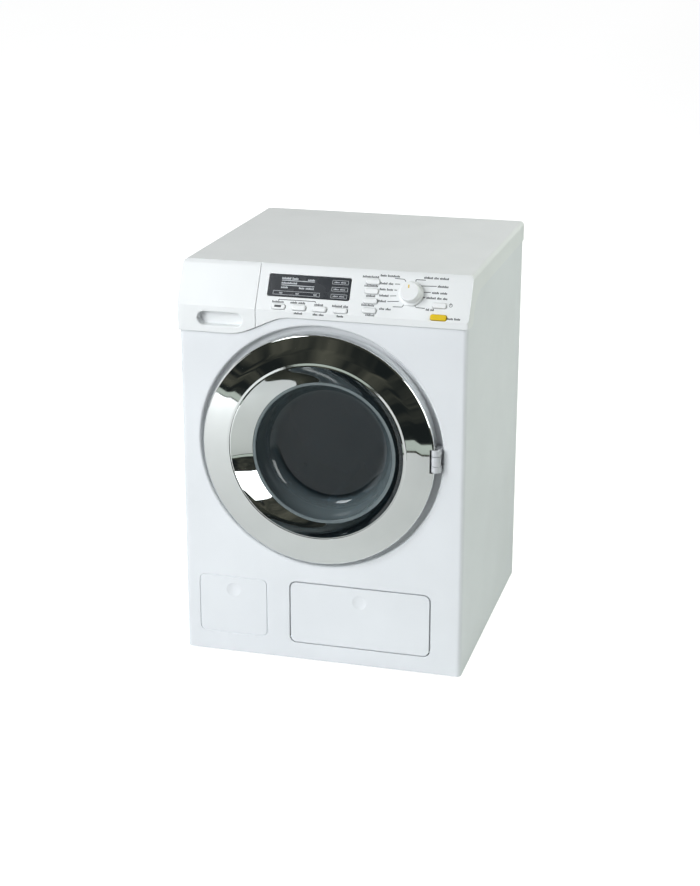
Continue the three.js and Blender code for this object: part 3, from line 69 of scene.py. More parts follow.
# %% Main sizes from the frame
MM = 0.001
WALL = 2.4 * MM
COVER_WALL = 2.2 * MM
BACK_WALL = 2.6 * MM
SEAM_GAP = 0.5 * MM
FIT_GAP = 0.3 * MM
RUN_GAP = 0.7 * MM
OVER = 2 * MM

shell_low, shell_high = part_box("cabinet_shell")
cover_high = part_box("top_cover")[1]
ring_low, ring_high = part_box("door_frame")
FRONT = shell_low.y
DEPTH = cover_high.y - FRONT
TOP = cover_high.z
HALF_BODY = shell_high.x
HALF_COVER = cover_high.x
INSIDE = HALF_BODY - WALL
RING_RADIUS = (ring_high.z - ring_low.z) / 2
DOOR_X = ring_low.x + RING_RADIUS
DOOR_Z = (ring_high.z + ring_low.z) / 2
print("front face at y", round(FRONT / MM, 2), "mm, door centre", round(DOOR_X / MM, 2),
      round(DOOR_Z / MM, 2), "mm")

# %% [markdown]
# Outlines. Every moulded piece here starts as a flat drawing: a front view, a side view or a plan. It
# could be drawn as a curve object, but a plain list of (a, b) points is easier to offset and to reuse.
# Each round corner is an arc of several points, so that it stays smooth in the close views.

# %% Arcs, circles and round corners
ROUND = 192


def arc(centre, radius, start, end, steps):
    """Points on an arc. The angles are counted in quarter turns."""
    turns = [start + (end - start) * i / steps for i in range(steps + 1)]
    return [(centre[0] + radius * math.cos(t * math.pi / 2),
             centre[1] + radius * math.sin(t * math.pi / 2)) for t in turns]


def circle(centre, radius, steps=ROUND):
    angles = [2 * math.pi * i / steps for i in range(steps)]
    return [(centre[0] + radius * math.cos(t), centre[1] + radius * math.sin(t)) for t in angles]


def rounded_box(left, right, low, high, radius, steps=10):
    """A rectangle with round corners, always with the same number of points for the same steps."""
    corners = [((right - radius, low + radius), -1), ((right - radius, high - radius), 0),
               ((left + radius, high - radius), 1), ((left + radius, low + radius), 2)]
    return [p for centre, quarter in corners for p in arc(centre, radius, quarter, quarter + 1, steps)]


print("a whole circle has", len(circle((0, 0), 1)), "points")


# %% Outlines with eased corners
def eased(corners, steps=8):
    """A closed outline through corners (a, b, radius), each rounded by its own radius."""
    points = []
    for i, (a, b, radius) in enumerate(corners):
        here = Vector((a, b))
        if not radius:
            points.append((a, b))
            continue
        before = (Vector(corners[i - 1][:2]) - here).normalized()
        after = (Vector(corners[(i + 1) % len(corners)][:2]) - here).normalized()
        half = before.angle(after) / 2
        middle = here + (before + after).normalized() * radius / math.sin(half)
        first = here + before * radius / math.tan(half) - middle
        last = here + after * radius / math.tan(half) - middle
        start = math.atan2(first.y, first.x)
        sweep = (math.atan2(last.y, last.x) - start + math.pi) % (2 * math.pi) - math.pi
        turns = [(start + sweep * k / steps) / (math.pi / 2) for k in (0, steps)]
        points += arc(middle, radius, *turns, steps)
    return points


print("an eased corner has", len(eased([(0, 0, 0), (1, 0, 0.1), (1, 1, 0)])) - 2, "points")


# %% Free curves
def bezier(start, pull_start, pull_end, end, steps=20):
    """Points after the start on a cubic curve."""
    ends = [Vector(p) for p in (start, pull_start, pull_end, end)]
    points = []
    for i in range(1, steps + 1):
        t = i / steps
        shares = ((1 - t) ** 3, 3 * t * (1 - t) ** 2, 3 * t * t * (1 - t), t ** 3)
        points.append(tuple(sum((p * s for p, s in zip(ends, shares)), Vector((0, 0)))))
    return points


print("a free curve has", len(bezier((0, 0), (1, 0), (1, 1), (2, 1))), "points after its start")

# %% [markdown]
# Solids. A drawing becomes a solid by carrying it along a straight line or turning it about an axis.
# Both are rings of points joined by quads, so one loft function makes them all. Extruding by hand
# would give the same faces, but then a changed size would mean doing it again.
#
# Views say how a drawing's two directions lie on the machine. Depths are counted back from the
# cabinet's front face.

# %% Views of the machine
def row(x, depth, z):
    return Vector((x, FRONT + depth, z))


def front_view(x, z, depth):
    return row(x, depth, z)


def side_view(depth, z, x):
    return row(x, depth, z)


def plan_view(x, depth, z):
    return row(x, depth, z)


print("a point 10 mm behind the front lies at y", round(row(0, 10 * MM, 0).y / MM, 2), "mm")


# %% Lofts
DOUBLES = MM / 1000


def add_loft(bm, rings, closed=False):
    """Joins rings of the same number of points, and closes both ends unless the rings form a loop."""
    loops = [[bm.verts.new(p) for p in ring] for ring in rings]
    pairs = list(zip(loops, loops[1:]))
    if closed:
        pairs.append((loops[-1], loops[0]))
    for low, high in pairs:
        for i in range(len(low)):
            j = (i + 1) % len(low)
            bm.faces.new((low[i], low[j], high[j], high[i]))
    if not closed:
        bm.faces.new(loops[0])
        bm.faces.new(loops[-1])


def as_object(name, bm):
    bmesh.ops.remove_doubles(bm, verts=bm.verts, dist=DOUBLES)
    bmesh.ops.recalc_face_normals(bm, faces=bm.faces)
    mesh = bpy.data.meshes.new(name)
    bm.to_mesh(mesh)
    bm.free()
    obj = bpy.data.objects.new(name, mesh)
    bpy.context.scene.collection.objects.link(obj)
    return obj


def loft(name, rings, closed=False):
    bm = bmesh.new()
    add_loft(bm, rings, closed)
    return as_object(name, bm)


print("doubles are merged within", round(DOUBLES / MM, 4), "mm")


# %% Prisms, boxes and turned pieces
def prism(name, outline, view, start, end):
    return loft(name, [[view(a, b, t) for a, b in outline] for t in (start, end)])


def box_at(name, xs, depths, zs):
    outline = [(xs[0], zs[0]), (xs[1], zs[0]), (xs[1], zs[1]), (xs[0], zs[1])]
    return prism(name, outline, front_view, *depths)


def turned(name, profile, centre=(DOOR_X, DOOR_Z), segments=ROUND):
    """A closed profile of (radius, depth) turned about a line that runs from front to back."""
    return loft(name, [[row(x, d, z) for x, z in circle(centre, r, segments)] for r, d in profile],
                closed=True)


def disc(name, radius, start, end, centre=(DOOR_X, DOOR_Z), segments=ROUND):
    return turned(name, [(0, start), (radius, start), (radius, end), (0, end)], centre, segments)


print("turned pieces stand on the door's middle unless another centre is given")

# %% [markdown]
# Cutting and joining. Openings, recesses and seams are cut as a mould maker would cut them: a tool
# solid is taken away from the piece. Blender's Boolean modifier does that, and the result is read back
# as a plain mesh, so no live modifier is left behind. The exact solver is slower than the fast one, but
# it keeps closed solids closed where faces meet.

# %% Cutting and joining
def settle(obj):
    """Turns the object with its modifiers into a plain mesh."""
    depsgraph = bpy.context.evaluated_depsgraph_get()
    mesh = bpy.data.meshes.new_from_object(obj.evaluated_get(depsgraph))
    obj.modifiers.clear()
    used = obj.data
    obj.data = mesh
    bpy.data.meshes.remove(used)
    mesh.name = obj.name
    return obj


def combine(obj, operation, tools):
    for tool in tools:
        step = obj.modifiers.new("shape", "BOOLEAN")
        step.solver = "EXACT"
        step.operation = operation
        step.object = tool
        settle(obj)
        bpy.data.objects.remove(tool)
    return obj


def minus(obj, *tools):
    return combine(obj, "DIFFERENCE", tools)


def plus(obj, *tools):
    return combine(obj, "UNION", tools)


def within(obj, *tools):
    return combine(obj, "INTERSECT", tools)


print("three ways to combine solids: minus, plus and within")

# %% [markdown]
# Edges and shading. A moulded edge is never knife sharp: it has a radius of a few tenths of a
# millimetre that catches a thin line of light. A Bevel modifier rounds every edge above an angle, and
# weighted normals keep the large faces flat beside the rounded edges.

# %% Rounding and shading
SMOOTH_ANGLE = math.radians(27)
EDGE_ANGLE = math.radians(38)
MERGE_WITHIN = MM / 30
DISSOLVE_WITHIN = MM / 100


def shade(obj):
    obj.data.shade_smooth()
    obj.data.set_sharp_from_angle(angle=SMOOTH_ANGLE)
    weigh = obj.modifiers.new("normals", "WEIGHTED_NORMAL")
    weigh.keep_sharp = True
    return settle(obj)


def soften(obj, width, segments=3):
    bm = bmesh.new()
    bm.from_mesh(obj.data)
    bmesh.ops.remove_doubles(bm, verts=bm.verts, dist=MERGE_WITHIN)
    bmesh.ops.dissolve_degenerate(bm, edges=bm.edges, dist=DISSOLVE_WITHIN)
    bm.to_mesh(obj.data)
    bm.free()
    edge = obj.modifiers.new("edge", "BEVEL")
    edge.width = width
    edge.segments = segments
    edge.limit_method = "ANGLE"
    edge.angle_limit = EDGE_ANGLE
    edge.use_clamp_overlap = False
    settle(obj)
    return shade(obj)


print("edges over", round(math.degrees(EDGE_ANGLE)), "degrees are rounded")

# %% [markdown]
# Joining the model. A finished piece needs three things: its finish, the body that it moves with and
# the names of the plain nodes that it stands for. One function gives all three, so no piece can be
# left half done.

# %% Installing a piece
def keep_inside(obj):
    """Rounding an edge can push a point out by a hair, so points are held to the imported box."""
    low, high = (Vector(corner) for corner in cad_box)
    for vertex in obj.data.vertices:
        vertex.co = Vector(max(a, min(b, c)) for a, b, c in zip(low, high, vertex.co))


def install(obj, material, body, slot, *nodes):
    """Gives the piece its finish, its body and the nodes that it stands for. The slot is not used."""
    keep_inside(obj)
    obj.data.materials.clear()
    obj.data.materials.append(material)
    for face in obj.data.polygons:
        face.material_index = 0
    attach(obj, body)
    if nodes:
        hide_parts(*nodes)
    print(obj.name, "has", len(obj.data.polygons), "faces and rides on", body)


print("pieces are held to the packed box of", [round((b - a) / MM, 1) for a, b in zip(*cad_box)], "mm")

# %% [markdown]
# Moulded plastic. The housing is white plastic with a satin skin. Seen close it has a very fine orange
# peel from the mould, a little unevenness in gloss, and hardly any change in colour. A picture of
# plastic could be laid on, but it would stretch and repeat. Three noise textures in real scale give the
# same at any distance, and one function makes every moulded colour.

# %% Parts that every finish is made of
def new_material(name):
    material = bpy.data.materials.new(name)
    material.use_nodes = True
    tree = material.node_tree
    return material, tree, tree.nodes["Principled BSDF"]


def noise(tree, scale, detail=2.0):
    place = tree.nodes.new("ShaderNodeTexCoord")
    texture = tree.nodes.new("ShaderNodeTexNoise")
    texture.inputs["Scale"].default_value = scale
    texture.inputs["Detail"].default_value = detail
    tree.links.new(place.outputs["Object"], texture.inputs["Vector"])
    return texture.outputs["Fac"]


def spread(tree, value, low, high):
    """Maps a noise value to a range."""
    step = tree.nodes.new("ShaderNodeMapRange")
    step.inputs["From Min"].default_value = 0.3
    step.inputs["From Max"].default_value = 0.7
    step.inputs["To Min"].default_value = low
    step.inputs["To Max"].default_value = high
    tree.links.new(value, step.inputs["Value"])
    return step.outputs["Result"]


def tint(tree, value, dark, light):
    """Mixes two colours by a noise value."""
    ramp = tree.nodes.new("ShaderNodeValToRGB")
    ramp.color_ramp.elements[0].position = 0.3
    ramp.color_ramp.elements[1].position = 0.7
    ramp.color_ramp.elements[0].color = (*dark, 1)
    ramp.color_ramp.elements[1].color = (*light, 1)
    tree.links.new(value, ramp.inputs["Fac"])
    return ramp.outputs["Color"]


def relief(tree, shader, value, strength, distance):
    bump = tree.nodes.new("ShaderNodeBump")
    bump.inputs["Strength"].default_value = strength
    bump.inputs["Distance"].default_value = distance
    tree.links.new(value, bump.inputs["Height"])
    tree.links.new(bump.outputs["Normal"], shader.inputs["Normal"])


print("a noise of scale 1000 has grains of about 1 mm")


# %% Moulded plastics
def plastic(name, colour, roughness=0.36, grain=1600, peel=0.12, drift=0.02):
    material, tree, shader = new_material(name)
    light = tuple(min(1, c * (1 + drift)) for c in colour)
    dark = tuple(c * (1 - drift) for c in colour)
    tree.links.new(tint(tree, noise(tree, 22), dark, light), shader.inputs["Base Color"])
    tree.links.new(spread(tree, noise(tree, 90, 4), roughness - 0.05, roughness + 0.06),
                   shader.inputs["Roughness"])
    relief(tree, shader, noise(tree, grain, 3), peel, 0.06 * MM)
    return material


white_plastic = plastic("white_satin_plastic", (0.8, 0.82, 0.85))
cover_plastic = plastic("cover_satin_plastic", (0.84, 0.855, 0.865), roughness=0.33)
key_plastic = plastic("key_white_plastic", (0.86, 0.87, 0.88), roughness=0.3)
grey_plastic = plastic("light_grey_plastic", (0.50, 0.53, 0.55), roughness=0.42)
hinge_plastic = plastic("pale_grey_plastic", (0.6, 0.61, 0.64), roughness=0.4)
dark_plastic = plastic("black_matt_plastic", (0.035, 0.04, 0.045), roughness=0.5, peel=0.3, drift=0.1)
yellow_plastic = plastic("yellow_key_plastic", (0.76, 0.52, 0.006), roughness=0.32, drift=0.04)
drum_plastic = plastic("silver_grey_plastic", (0.34, 0.37, 0.38), roughness=0.34, drift=0.05)
print("8 plastics made")

# %% [markdown]
# Chrome. The door ring is plastic with a thin metal coat, so it mirrors its surroundings with a slight
# waviness that real polished steel doesn't have. A bump of very low strength bends the mirror image a
# little. Waves in the mesh would do the same, but would need far more faces.

# %% Chrome plating
def chrome():
    material, tree, shader = new_material("chrome_plating")
    shader.inputs["Metallic"].default_value = 1
    tree.links.new(tint(tree, noise(tree, 40), (0.80, 0.815, 0.81), (0.84, 0.855, 0.85)),
                   shader.inputs["Base Color"])
    tree.links.new(spread(tree, noise(tree, 300, 6), 0.02, 0.05), shader.inputs["Roughness"])
    relief(tree, shader, noise(tree, 18, 1), 0.1, 0.3 * MM)
    return material


chrome_plating = chrome()
print(chrome_plating.name, "made")

# %% [markdown]
# Smoked bowl. It is clear plastic with a blue-grey dye. Transmission lets light through, and the base
# colour dyes it. On the real bowl the curved wall looks hazier than the flat floor, so a satin finish
# is mixed in by the distance from the bowl's middle.

# %% Smoked plastic
def smoked_glass():
    material, tree, shader = new_material("smoked_clear_plastic")
    shader.inputs["Transmission Weight"].default_value = 0.97
    shader.inputs["IOR"].default_value = 1.5
    tree.links.new(tint(tree, noise(tree, 30), (0.08, 0.135, 0.172), (0.095, 0.15, 0.187)),
                   shader.inputs["Base Color"])
    tree.links.new(spread(tree, noise(tree, 120, 2), 0.02, 0.04), shader.inputs["Roughness"])
    relief(tree, shader, noise(tree, 24, 0), 0.08, 0.3 * MM)
    return material, tree, shader


def satin_wall(tree, shader, centre, radii, most):
    """Adds a satin haze to a clear finish, from none at the first radius to most at the second."""
    place = tree.nodes.new("ShaderNodeTexCoord")
    offset = tree.nodes.new("ShaderNodeVectorMath")
    offset.operation = "SUBTRACT"
    offset.inputs[1].default_value = (centre[0], 0, centre[1])
    flat = tree.nodes.new("ShaderNodeVectorMath")
    flat.operation = "MULTIPLY"
    flat.inputs[1].default_value = (1, 0, 1)
    length = tree.nodes.new("ShaderNodeVectorMath")
    length.operation = "LENGTH"
    amount = tree.nodes.new("ShaderNodeMapRange")
    amount.inputs["From Min"].default_value = radii[0]
    amount.inputs["From Max"].default_value = radii[1]
    amount.inputs["To Max"].default_value = most
    haze = tree.nodes.new("ShaderNodeBsdfPrincipled")
    haze.inputs["Roughness"].default_value = 0.15
    mix = tree.nodes.new("ShaderNodeMixShader")
    output = tree.nodes["Material Output"]
    tree.links.new(place.outputs["Object"], offset.inputs[0])
    tree.links.new(offset.outputs["Vector"], flat.inputs[0])
    tree.links.new(flat.outputs["Vector"], length.inputs[0])
    tree.links.new(length.outputs["Value"], amount.inputs["Value"])
    tree.links.new(tint(tree, noise(tree, 45), (0.33, 0.4, 0.42), (0.37, 0.44, 0.46)),
                   haze.inputs["Base Color"])
    tree.links.new(amount.outputs["Result"], mix.inputs["Fac"])
    tree.links.new(shader.outputs["BSDF"], mix.inputs[1])
    tree.links.new(haze.outputs["BSDF"], mix.inputs[2])
    tree.links.new(mix.outputs["Shader"], output.inputs["Surface"])


smoked_plastic, smoked_tree, smoked_shader = smoked_glass()
print(smoked_plastic.name, "made, its haze follows with the bowl")

# %% [markdown]
# Metal and rubber. Pins and screws are zinc plated, with a fine mottled grain. The seal and the feet are
# matt rubber, which scatters light more than plastic and has a coarser skin.

# %% Metal and rubber
METAL_GRAIN = 700


def metal(name, colour, roughness):
    material, tree, shader = new_material(name)
    shader.inputs["Metallic"].default_value = 1
    dark = tuple(c * 0.86 for c in colour)
    tree.links.new(tint(tree, noise(tree, 180, 5), dark, colour), shader.inputs["Base Color"])
    tree.links.new(spread(tree, noise(tree, METAL_GRAIN, 5), roughness - 0.08, roughness + 0.1),
                   shader.inputs["Roughness"])
    relief(tree, shader, noise(tree, METAL_GRAIN * 2, 2), 0.15, 0.04 * MM)
    return material


def rubber():
    material, tree, shader = new_material("matt_rubber")
    tree.links.new(tint(tree, noise(tree, 70, 5), (0.3, 0.31, 0.32), (0.36, 0.37, 0.38)),
                   shader.inputs["Base Color"])
    tree.links.new(spread(tree, noise(tree, 500, 4), 0.7, 0.9), shader.inputs["Roughness"])
    relief(tree, shader, noise(tree, 2600, 3), 0.35, 0.08 * MM)
    return material


matt_rubber = rubber()
zinc_steel = metal("zinc_plated_steel", (0.52, 0.52, 0.53), 0.32)
turned_brass = metal("turned_brass", (0.56, 0.38, 0.1), 0.3)
print("rubber, steel and brass made")

# %% [markdown]
# Other smooth finishes. The board is green laminate, the cells have a blue sleeve, and the display is
# a near-black window. New functions could make them, but all three are smooth and hardly change in
# colour, so the plastic function does it with other values.

# %% Finishes of the inner pieces
green_board = plastic("green_board_laminate", (0.03, 0.15, 0.06), roughness=0.4, grain=900, drift=0.12)
cell_sleeve = plastic("blue_cell_sleeve", (0.02, 0.08, 0.19), roughness=0.28, drift=0.08)
display_plastic = plastic("display_window_plastic", (0.018, 0.022, 0.028), roughness=0.26, peel=0.02,
                          drift=0.06)
print("board, cell sleeve and display window made")

# %% [markdown]
# Cabinet. The real cabinet is one moulding: front and two sides with rounded front corners, a round
# dished recess for the door, an opening for the flap and a shallow groove that draws a second, blind
# panel. It could be modelled by pushing faces about, but cutting it from drawings keeps every radius
# true. The recess has a soft rim, so its tool flares at the front.

# %% Values of the cabinet front
BODY_CORNER = 3 * MM
BODY_LOW = shell_low.z
RECESS_RADIUS = 78.8 * MM
RECESS_DEPTH = 6 * MM
RIM_SOFTNESS = 1.5 * MM
MOUTH_RADIUS = 54 * MM
flap_low, flap_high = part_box("service_flap")
FLAP_PIN_LENGTH = 2.2 * MM
FLAP = (flap_low.x + FLAP_PIN_LENGTH, flap_high.x - FLAP_PIN_LENGTH, flap_low.z, flap_high.z)
FLAP_RADIUS = 4 * MM
BLANK = (-82.6 * MM, -36.3 * MM, 14 * MM, 54.2 * MM)
GROOVE_WIDTH = 0.8 * MM
GROOVE_DEPTH = 0.7 * MM
print("flap is", round((FLAP[1] - FLAP[0]) / MM, 1), "x", round((FLAP[3] - FLAP[2]) / MM, 1), "mm")


# %% A tool with a flared front
FLARE_STEPS = 8


def flared(name, outline_at, start, end, flare):
    """A cutting tool that widens at the front, so that it leaves a rounded rim."""
    rings = [(flare, start - OVER)]
    for i in range(FLARE_STEPS + 1):
        turn = i / FLARE_STEPS * math.pi / 2
        rings.append((flare * (1 - math.sin(turn)), start + flare * (1 - math.cos(turn))))
    rings.append((0, end))
    return loft(name, [[front_view(x, z, d) for x, z in outline_at(grow)] for grow, d in rings])


print("recess rim radius", round(RIM_SOFTNESS / MM, 2), "mm")


# %% Outlines of the openings
def door_circle(grow):
    return circle((DOOR_X, DOOR_Z), RECESS_RADIUS + grow)


def grown_box(box, grow):
    left, right, low, high = box
    return rounded_box(left - grow, right + grow, low - grow, high + grow, FLAP_RADIUS + grow)


def flap_outline(grow):
    return grown_box(FLAP, grow)


def blank_outline(grow):
    return grown_box(BLANK, grow)


print("flap and blind panel share a corner radius of", round(FLAP_RADIUS / MM, 1), "mm")

# %% Fingertip dimple and groove
DIMPLE_RADIUS = 4.8 * MM
DIMPLE_DEPTH = 0.8 * MM
DIMPLE_DROP = 9.4 * MM
DIMPLE_SPREAD = 1.15
DIMPLE_STEPS = 12


def dimple(x, z):
    """The tool of a shallow fingertip dimple: a slice of a large ball."""
    ball = (DIMPLE_RADIUS ** 2 + DIMPLE_DEPTH ** 2) / (2 * DIMPLE_DEPTH)
    reach = math.asin(min(1, DIMPLE_RADIUS * DIMPLE_SPREAD / ball))
    centre = DIMPLE_DEPTH - ball
    turns = [reach * i / DIMPLE_STEPS for i in range(DIMPLE_STEPS + 1)]
    cap = [(ball * math.sin(turn), centre + ball * math.cos(turn)) for turn in turns]
    edge = cap[-1]
    return turned("dimple", [*cap, (edge[0], edge[1] - OVER), (0, edge[1] - OVER)], (x, z), 64)


def groove(outline_at):
    outer = prism("groove", outline_at(0), front_view, -OVER, GROOVE_DEPTH)
    inner = prism("island", outline_at(-GROOVE_WIDTH), front_view, -2 * OVER, GROOVE_DEPTH + OVER)
    return minus(outer, inner)


print("dimple", round(DIMPLE_DEPTH / MM, 1), "mm deep, groove", round(GROOVE_DEPTH / MM, 1), "mm deep")

# %% [markdown]
# Seams. The cover meets the cabinet along a line that waves up from under the drawer to the panel, and
# along a second line on each side that climbs to the level skirt. The two lines could be drawn on the
# finished shapes, but as outlines they cut the cabinet and shape the cover alike, so the gap between
# them stays even.

# %% Values of the seams
PANEL_SEAM = TOP - 30.1 * MM
SIDE_SEAM = TOP - 13 * MM
DRAWER_DROP = 12.5 * MM
WAVE = (-60 * MM, -19.5 * MM)
WAVE_SHARES = (0.395, 0.674)
SIDE_FOOT = 8 * MM
SIDE_STEP = 6 * MM
SIDE_RUN = 35 * MM
DRAWER_RIGHT = -41.3 * MM
DRAWER_GAP = 0.3 * MM
PANEL_PROUD = 1.8 * MM
DRAWER_PLATE = 2.8 * MM
FAR = 2 * HALF_COVER
print("front seam at", round(PANEL_SEAM / MM, 1), "mm, side seam at", round(SIDE_SEAM / MM, 1), "mm")


# %% Seam outlines
def above_wave(lower):
    low = PANEL_SEAM - DRAWER_DROP - lower
    high = PANEL_SEAM - lower
    start, end = WAVE
    pulls = [start + (end - start) * share for share in WAVE_SHARES]
    wave = bezier((start, low), (pulls[0], low), (pulls[1], high), (end, high), 40)
    return [(-FAR, low), (start, low), *wave, (FAR, high), (FAR, TOP + OVER), (-FAR, TOP + OVER)]


def above_side_seam(lower):
    low = PANEL_SEAM - lower
    high = SIDE_SEAM - lower
    turn = SIDE_FOOT + SIDE_STEP
    foot = bezier((SIDE_FOOT, low), (SIDE_FOOT + SIDE_STEP * 2 / 3, low),
                  (turn, low + SIDE_STEP / 3), (turn, low + SIDE_STEP), 10)
    climb = bezier((turn, low + SIDE_STEP), (turn, high - SIDE_STEP),
                   (SIDE_RUN - SIDE_STEP, high), (SIDE_RUN, high), 20)
    return [(-DEPTH, low), (SIDE_FOOT, low), *foot, *climb, (DEPTH + OVER, high),
            (DEPTH + OVER, TOP + OVER), (-DEPTH, TOP + OVER)]


print("wave seam climbs", round(DRAWER_DROP / MM, 1), "mm")

# %% Bosses for the back screws
BOSS = 8 * MM
BOSS_LENGTH = 20 * MM
BOSS_SHARES = (0.045, 0.955)
BACK_FRONT = DEPTH - BACK_WALL
SCREW_HOLE_RADIUS = 1.5 * MM
SCREW_HOLE_DEPTH = 14.3 * MM


def screw_places():
    x = INSIDE - BOSS / 2
    base_top = BODY_LOW + BACK_WALL
    span = SIDE_SEAM - SEAM_GAP - base_top
    return [(side * x, base_top + span * share) for side in (-1, 1) for share in BOSS_SHARES]


def corner_boss(x, z):
    out = WALL / 2
    xs = (x - BOSS / 2 - (out if x < 0 else 0), x + BOSS / 2 + (out if x > 0 else 0))
    back = BACK_FRONT - FIT_GAP
    return box_at("boss", xs, (back - BOSS_LENGTH, back), (z - BOSS / 2, z + BOSS / 2))


print(len(screw_places()), "screws hold the back")

# %% Opening of the flap
FLAP_AXIS = (1.2 * MM, FLAP[2] + 3 * MM)
FLAP_RIM = 0.5 * MM
PIN_SLOT_HALF = 1 * MM
PIN_SLOT_FRONT = FLAP_AXIS[0] - 0.8 * MM


def flap_cut():
    left, right, low, high = FLAP
    reach = FLAP_PIN_LENGTH + SEAM_GAP
    axis_z = FLAP_AXIS[1]
    slots = box_at("pin_slots", (left - reach, right + reach), (PIN_SLOT_FRONT, WALL + OVER),
                   (axis_z - PIN_SLOT_HALF, axis_z + PIN_SLOT_HALF))
    opening = flared("flap_opening", lambda grow: flap_outline(RUN_GAP + grow), 0, WALL + OVER, FLAP_RIM)
    return plus(opening, slots)


print("flap turns about a line", round(FLAP_AXIS[1] / MM, 1), "mm up")

# %% Cabinet
HOOK_SLOT = (-71.6 * MM, -64 * MM)
HOOK_SLOT_HALF = 5.65 * MM


def cabinet():
    corners = [(-HALF_BODY, 0, BODY_CORNER), (HALF_BODY, 0, BODY_CORNER),
               (HALF_BODY, DEPTH, BODY_CORNER), (-HALF_BODY, DEPTH, BODY_CORNER)]
    body = prism("cabinet", eased(corners, 12), plan_view, BODY_LOW, SIDE_SEAM - SEAM_GAP)
    drawer_way = within(prism("way", above_wave(SEAM_GAP), front_view, -OVER, WALL + OVER),
                        box_at("side", (-INSIDE, DRAWER_RIGHT), (-DEPTH, DEPTH), (0, 2 * TOP)))
    minus(body, box_at("inside", (-INSIDE, INSIDE), (WALL, DEPTH + OVER), (0, TOP)),
          prism("side_seam", above_side_seam(SEAM_GAP), side_view, -FAR, FAR),
          prism("wave_seam", above_wave(SEAM_GAP), front_view, -OVER,
                DRAWER_PLATE - PANEL_PROUD + SEAM_GAP), drawer_way)
    plus(body, disc("dish", RECESS_RADIUS + WALL, WALL / 2, RECESS_DEPTH + WALL),
         *[corner_boss(x, z) for x, z in screw_places()])
    minus(body, flared("recess", door_circle, 0, RECESS_DEPTH, RIM_SOFTNESS),
          disc("mouth", MOUTH_RADIUS, 0, RECESS_DEPTH + WALL + OVER),
          box_at("hook_slot", HOOK_SLOT, (RECESS_DEPTH - OVER, RECESS_DEPTH + WALL + OVER),
                 (DOOR_Z - HOOK_SLOT_HALF, DOOR_Z + HOOK_SLOT_HALF)),
          flap_cut(), groove(blank_outline),
          dimple((BLANK[0] + BLANK[1]) / 2, BLANK[3] - DIMPLE_DROP),
          *[disc("screw_hole", SCREW_HOLE_RADIUS, BACK_FRONT - SCREW_HOLE_DEPTH, BACK_FRONT + OVER,
                 place, 32) for place in screw_places()])
    return soften(body, 0.3 * MM)


install(cabinet(), white_plastic, "cabinet", "white_plastic", "cabinet_shell")

# %% [markdown]
# Top cover. It is one shell: a flat top, a sloping control panel, a short upright face below it and a
# skirt down each side. A box with bevelled edges would be quick, but its corners would all be alike.
# Three drawings meet in it instead: the side view gives the slope, the front view rounds the long edges,
# and the plan rounds the corners. The same shape, set in by the wall, hollows it.

# %% Slope of the control panel
PANEL_RUN = 13.05 * MM
PANEL_RISE = 23.8 * MM
PLATE_CHAMFER = 2.2 * MM
CREASE = TOP - PLATE_CHAMFER - PANEL_RISE
PLATE_EDGE = PANEL_RUN - PANEL_PROUD + PLATE_CHAMFER
LEAN = math.atan2(PANEL_RUN, PANEL_RISE)
EDGE_RADIUS = 3 * MM
CORNER_RADIUS = 1.6 * MM
print("panel leans", round(math.degrees(LEAN), 1), "degrees")


# %% Places on the slope
def on_panel(u, v, h):
    """A place on the control panel: across, up the slope from the crease, out of the face."""
    return row(u, -PANEL_PROUD + v * math.sin(LEAN) - h * math.cos(LEAN),
               CREASE + v * math.cos(LEAN) + h * math.sin(LEAN))


def on_front(u, v, h):
    """The same, but below the crease it follows the upright face."""
    return on_panel(u, v, h) if v > 0 else row(u, -PANEL_PROUD - h, CREASE + v)


print("the crease is", round(CREASE / MM, 1), "mm up")

# %% Blank of the cover
SLIVER = 0.01 * MM


def panel_corners(inset):
    """Depth of the face, height of the crease and height of the slope at the plate edge."""
    face = inset - PANEL_PROUD
    first = (inset - inset * math.cos(LEAN)) / math.sin(LEAN)
    last = (PLATE_EDGE + PANEL_PROUD - inset * math.cos(LEAN)) / math.sin(LEAN)
    low = CREASE - inset * math.sin(LEAN)
    return face, low + first * math.cos(LEAN), low + last * math.cos(LEAN)


def cover_blank(inset):
    half = HALF_COVER - inset
    face, crease, _ = panel_corners(inset)
    top = TOP - inset
    slope_top = top if inset else TOP - PLATE_CHAMFER
    slope_end = face + (slope_top - crease) * math.tan(LEAN)
    side = [(face, -OVER), (face, crease), (slope_end, slope_top)]
    if not inset:
        side.append((PLATE_EDGE, TOP))
    side += [(DEPTH + OVER, top), (DEPTH + OVER, -OVER)]
    front_radius = max(EDGE_RADIUS - inset, CORNER_RADIUS / 2)
    plan_radius = COVER_WALL if inset else CORNER_RADIUS
    front = rounded_box(-half, half, -2 * OVER, top + SLIVER, front_radius, 6)
    plan = rounded_box(-half - SLIVER, half + SLIVER, face - SLIVER, DEPTH - inset, plan_radius, 5)
    return within(prism("cover_blank", plan, plan_view, 0, TOP + OVER),
                  prism("side", side, side_view, -FAR, FAR),
                  prism("front", front, front_view, -4 * PANEL_PROUD, DEPTH + 2 * OVER))


def front_zone(inset):
    """Side view of everything in front of a line that follows the panel."""
    face, crease, edge = panel_corners(inset)
    front = -5 * PANEL_PROUD
    return [(front, -OVER), (face, -OVER), (face, crease), (PLATE_EDGE, edge),
            (PLATE_EDGE, TOP + 2 * OVER), (front, TOP + 2 * OVER)]


print("the blank spans", round(2 * HALF_COVER / MM, 1), "mm across")

# %% [markdown]
# Layout of the panel. Keys, display and dial sit at places measured on the slope, across it and up it.
# One table of places serves the holes in the cover and the keys themselves, so that they always match.

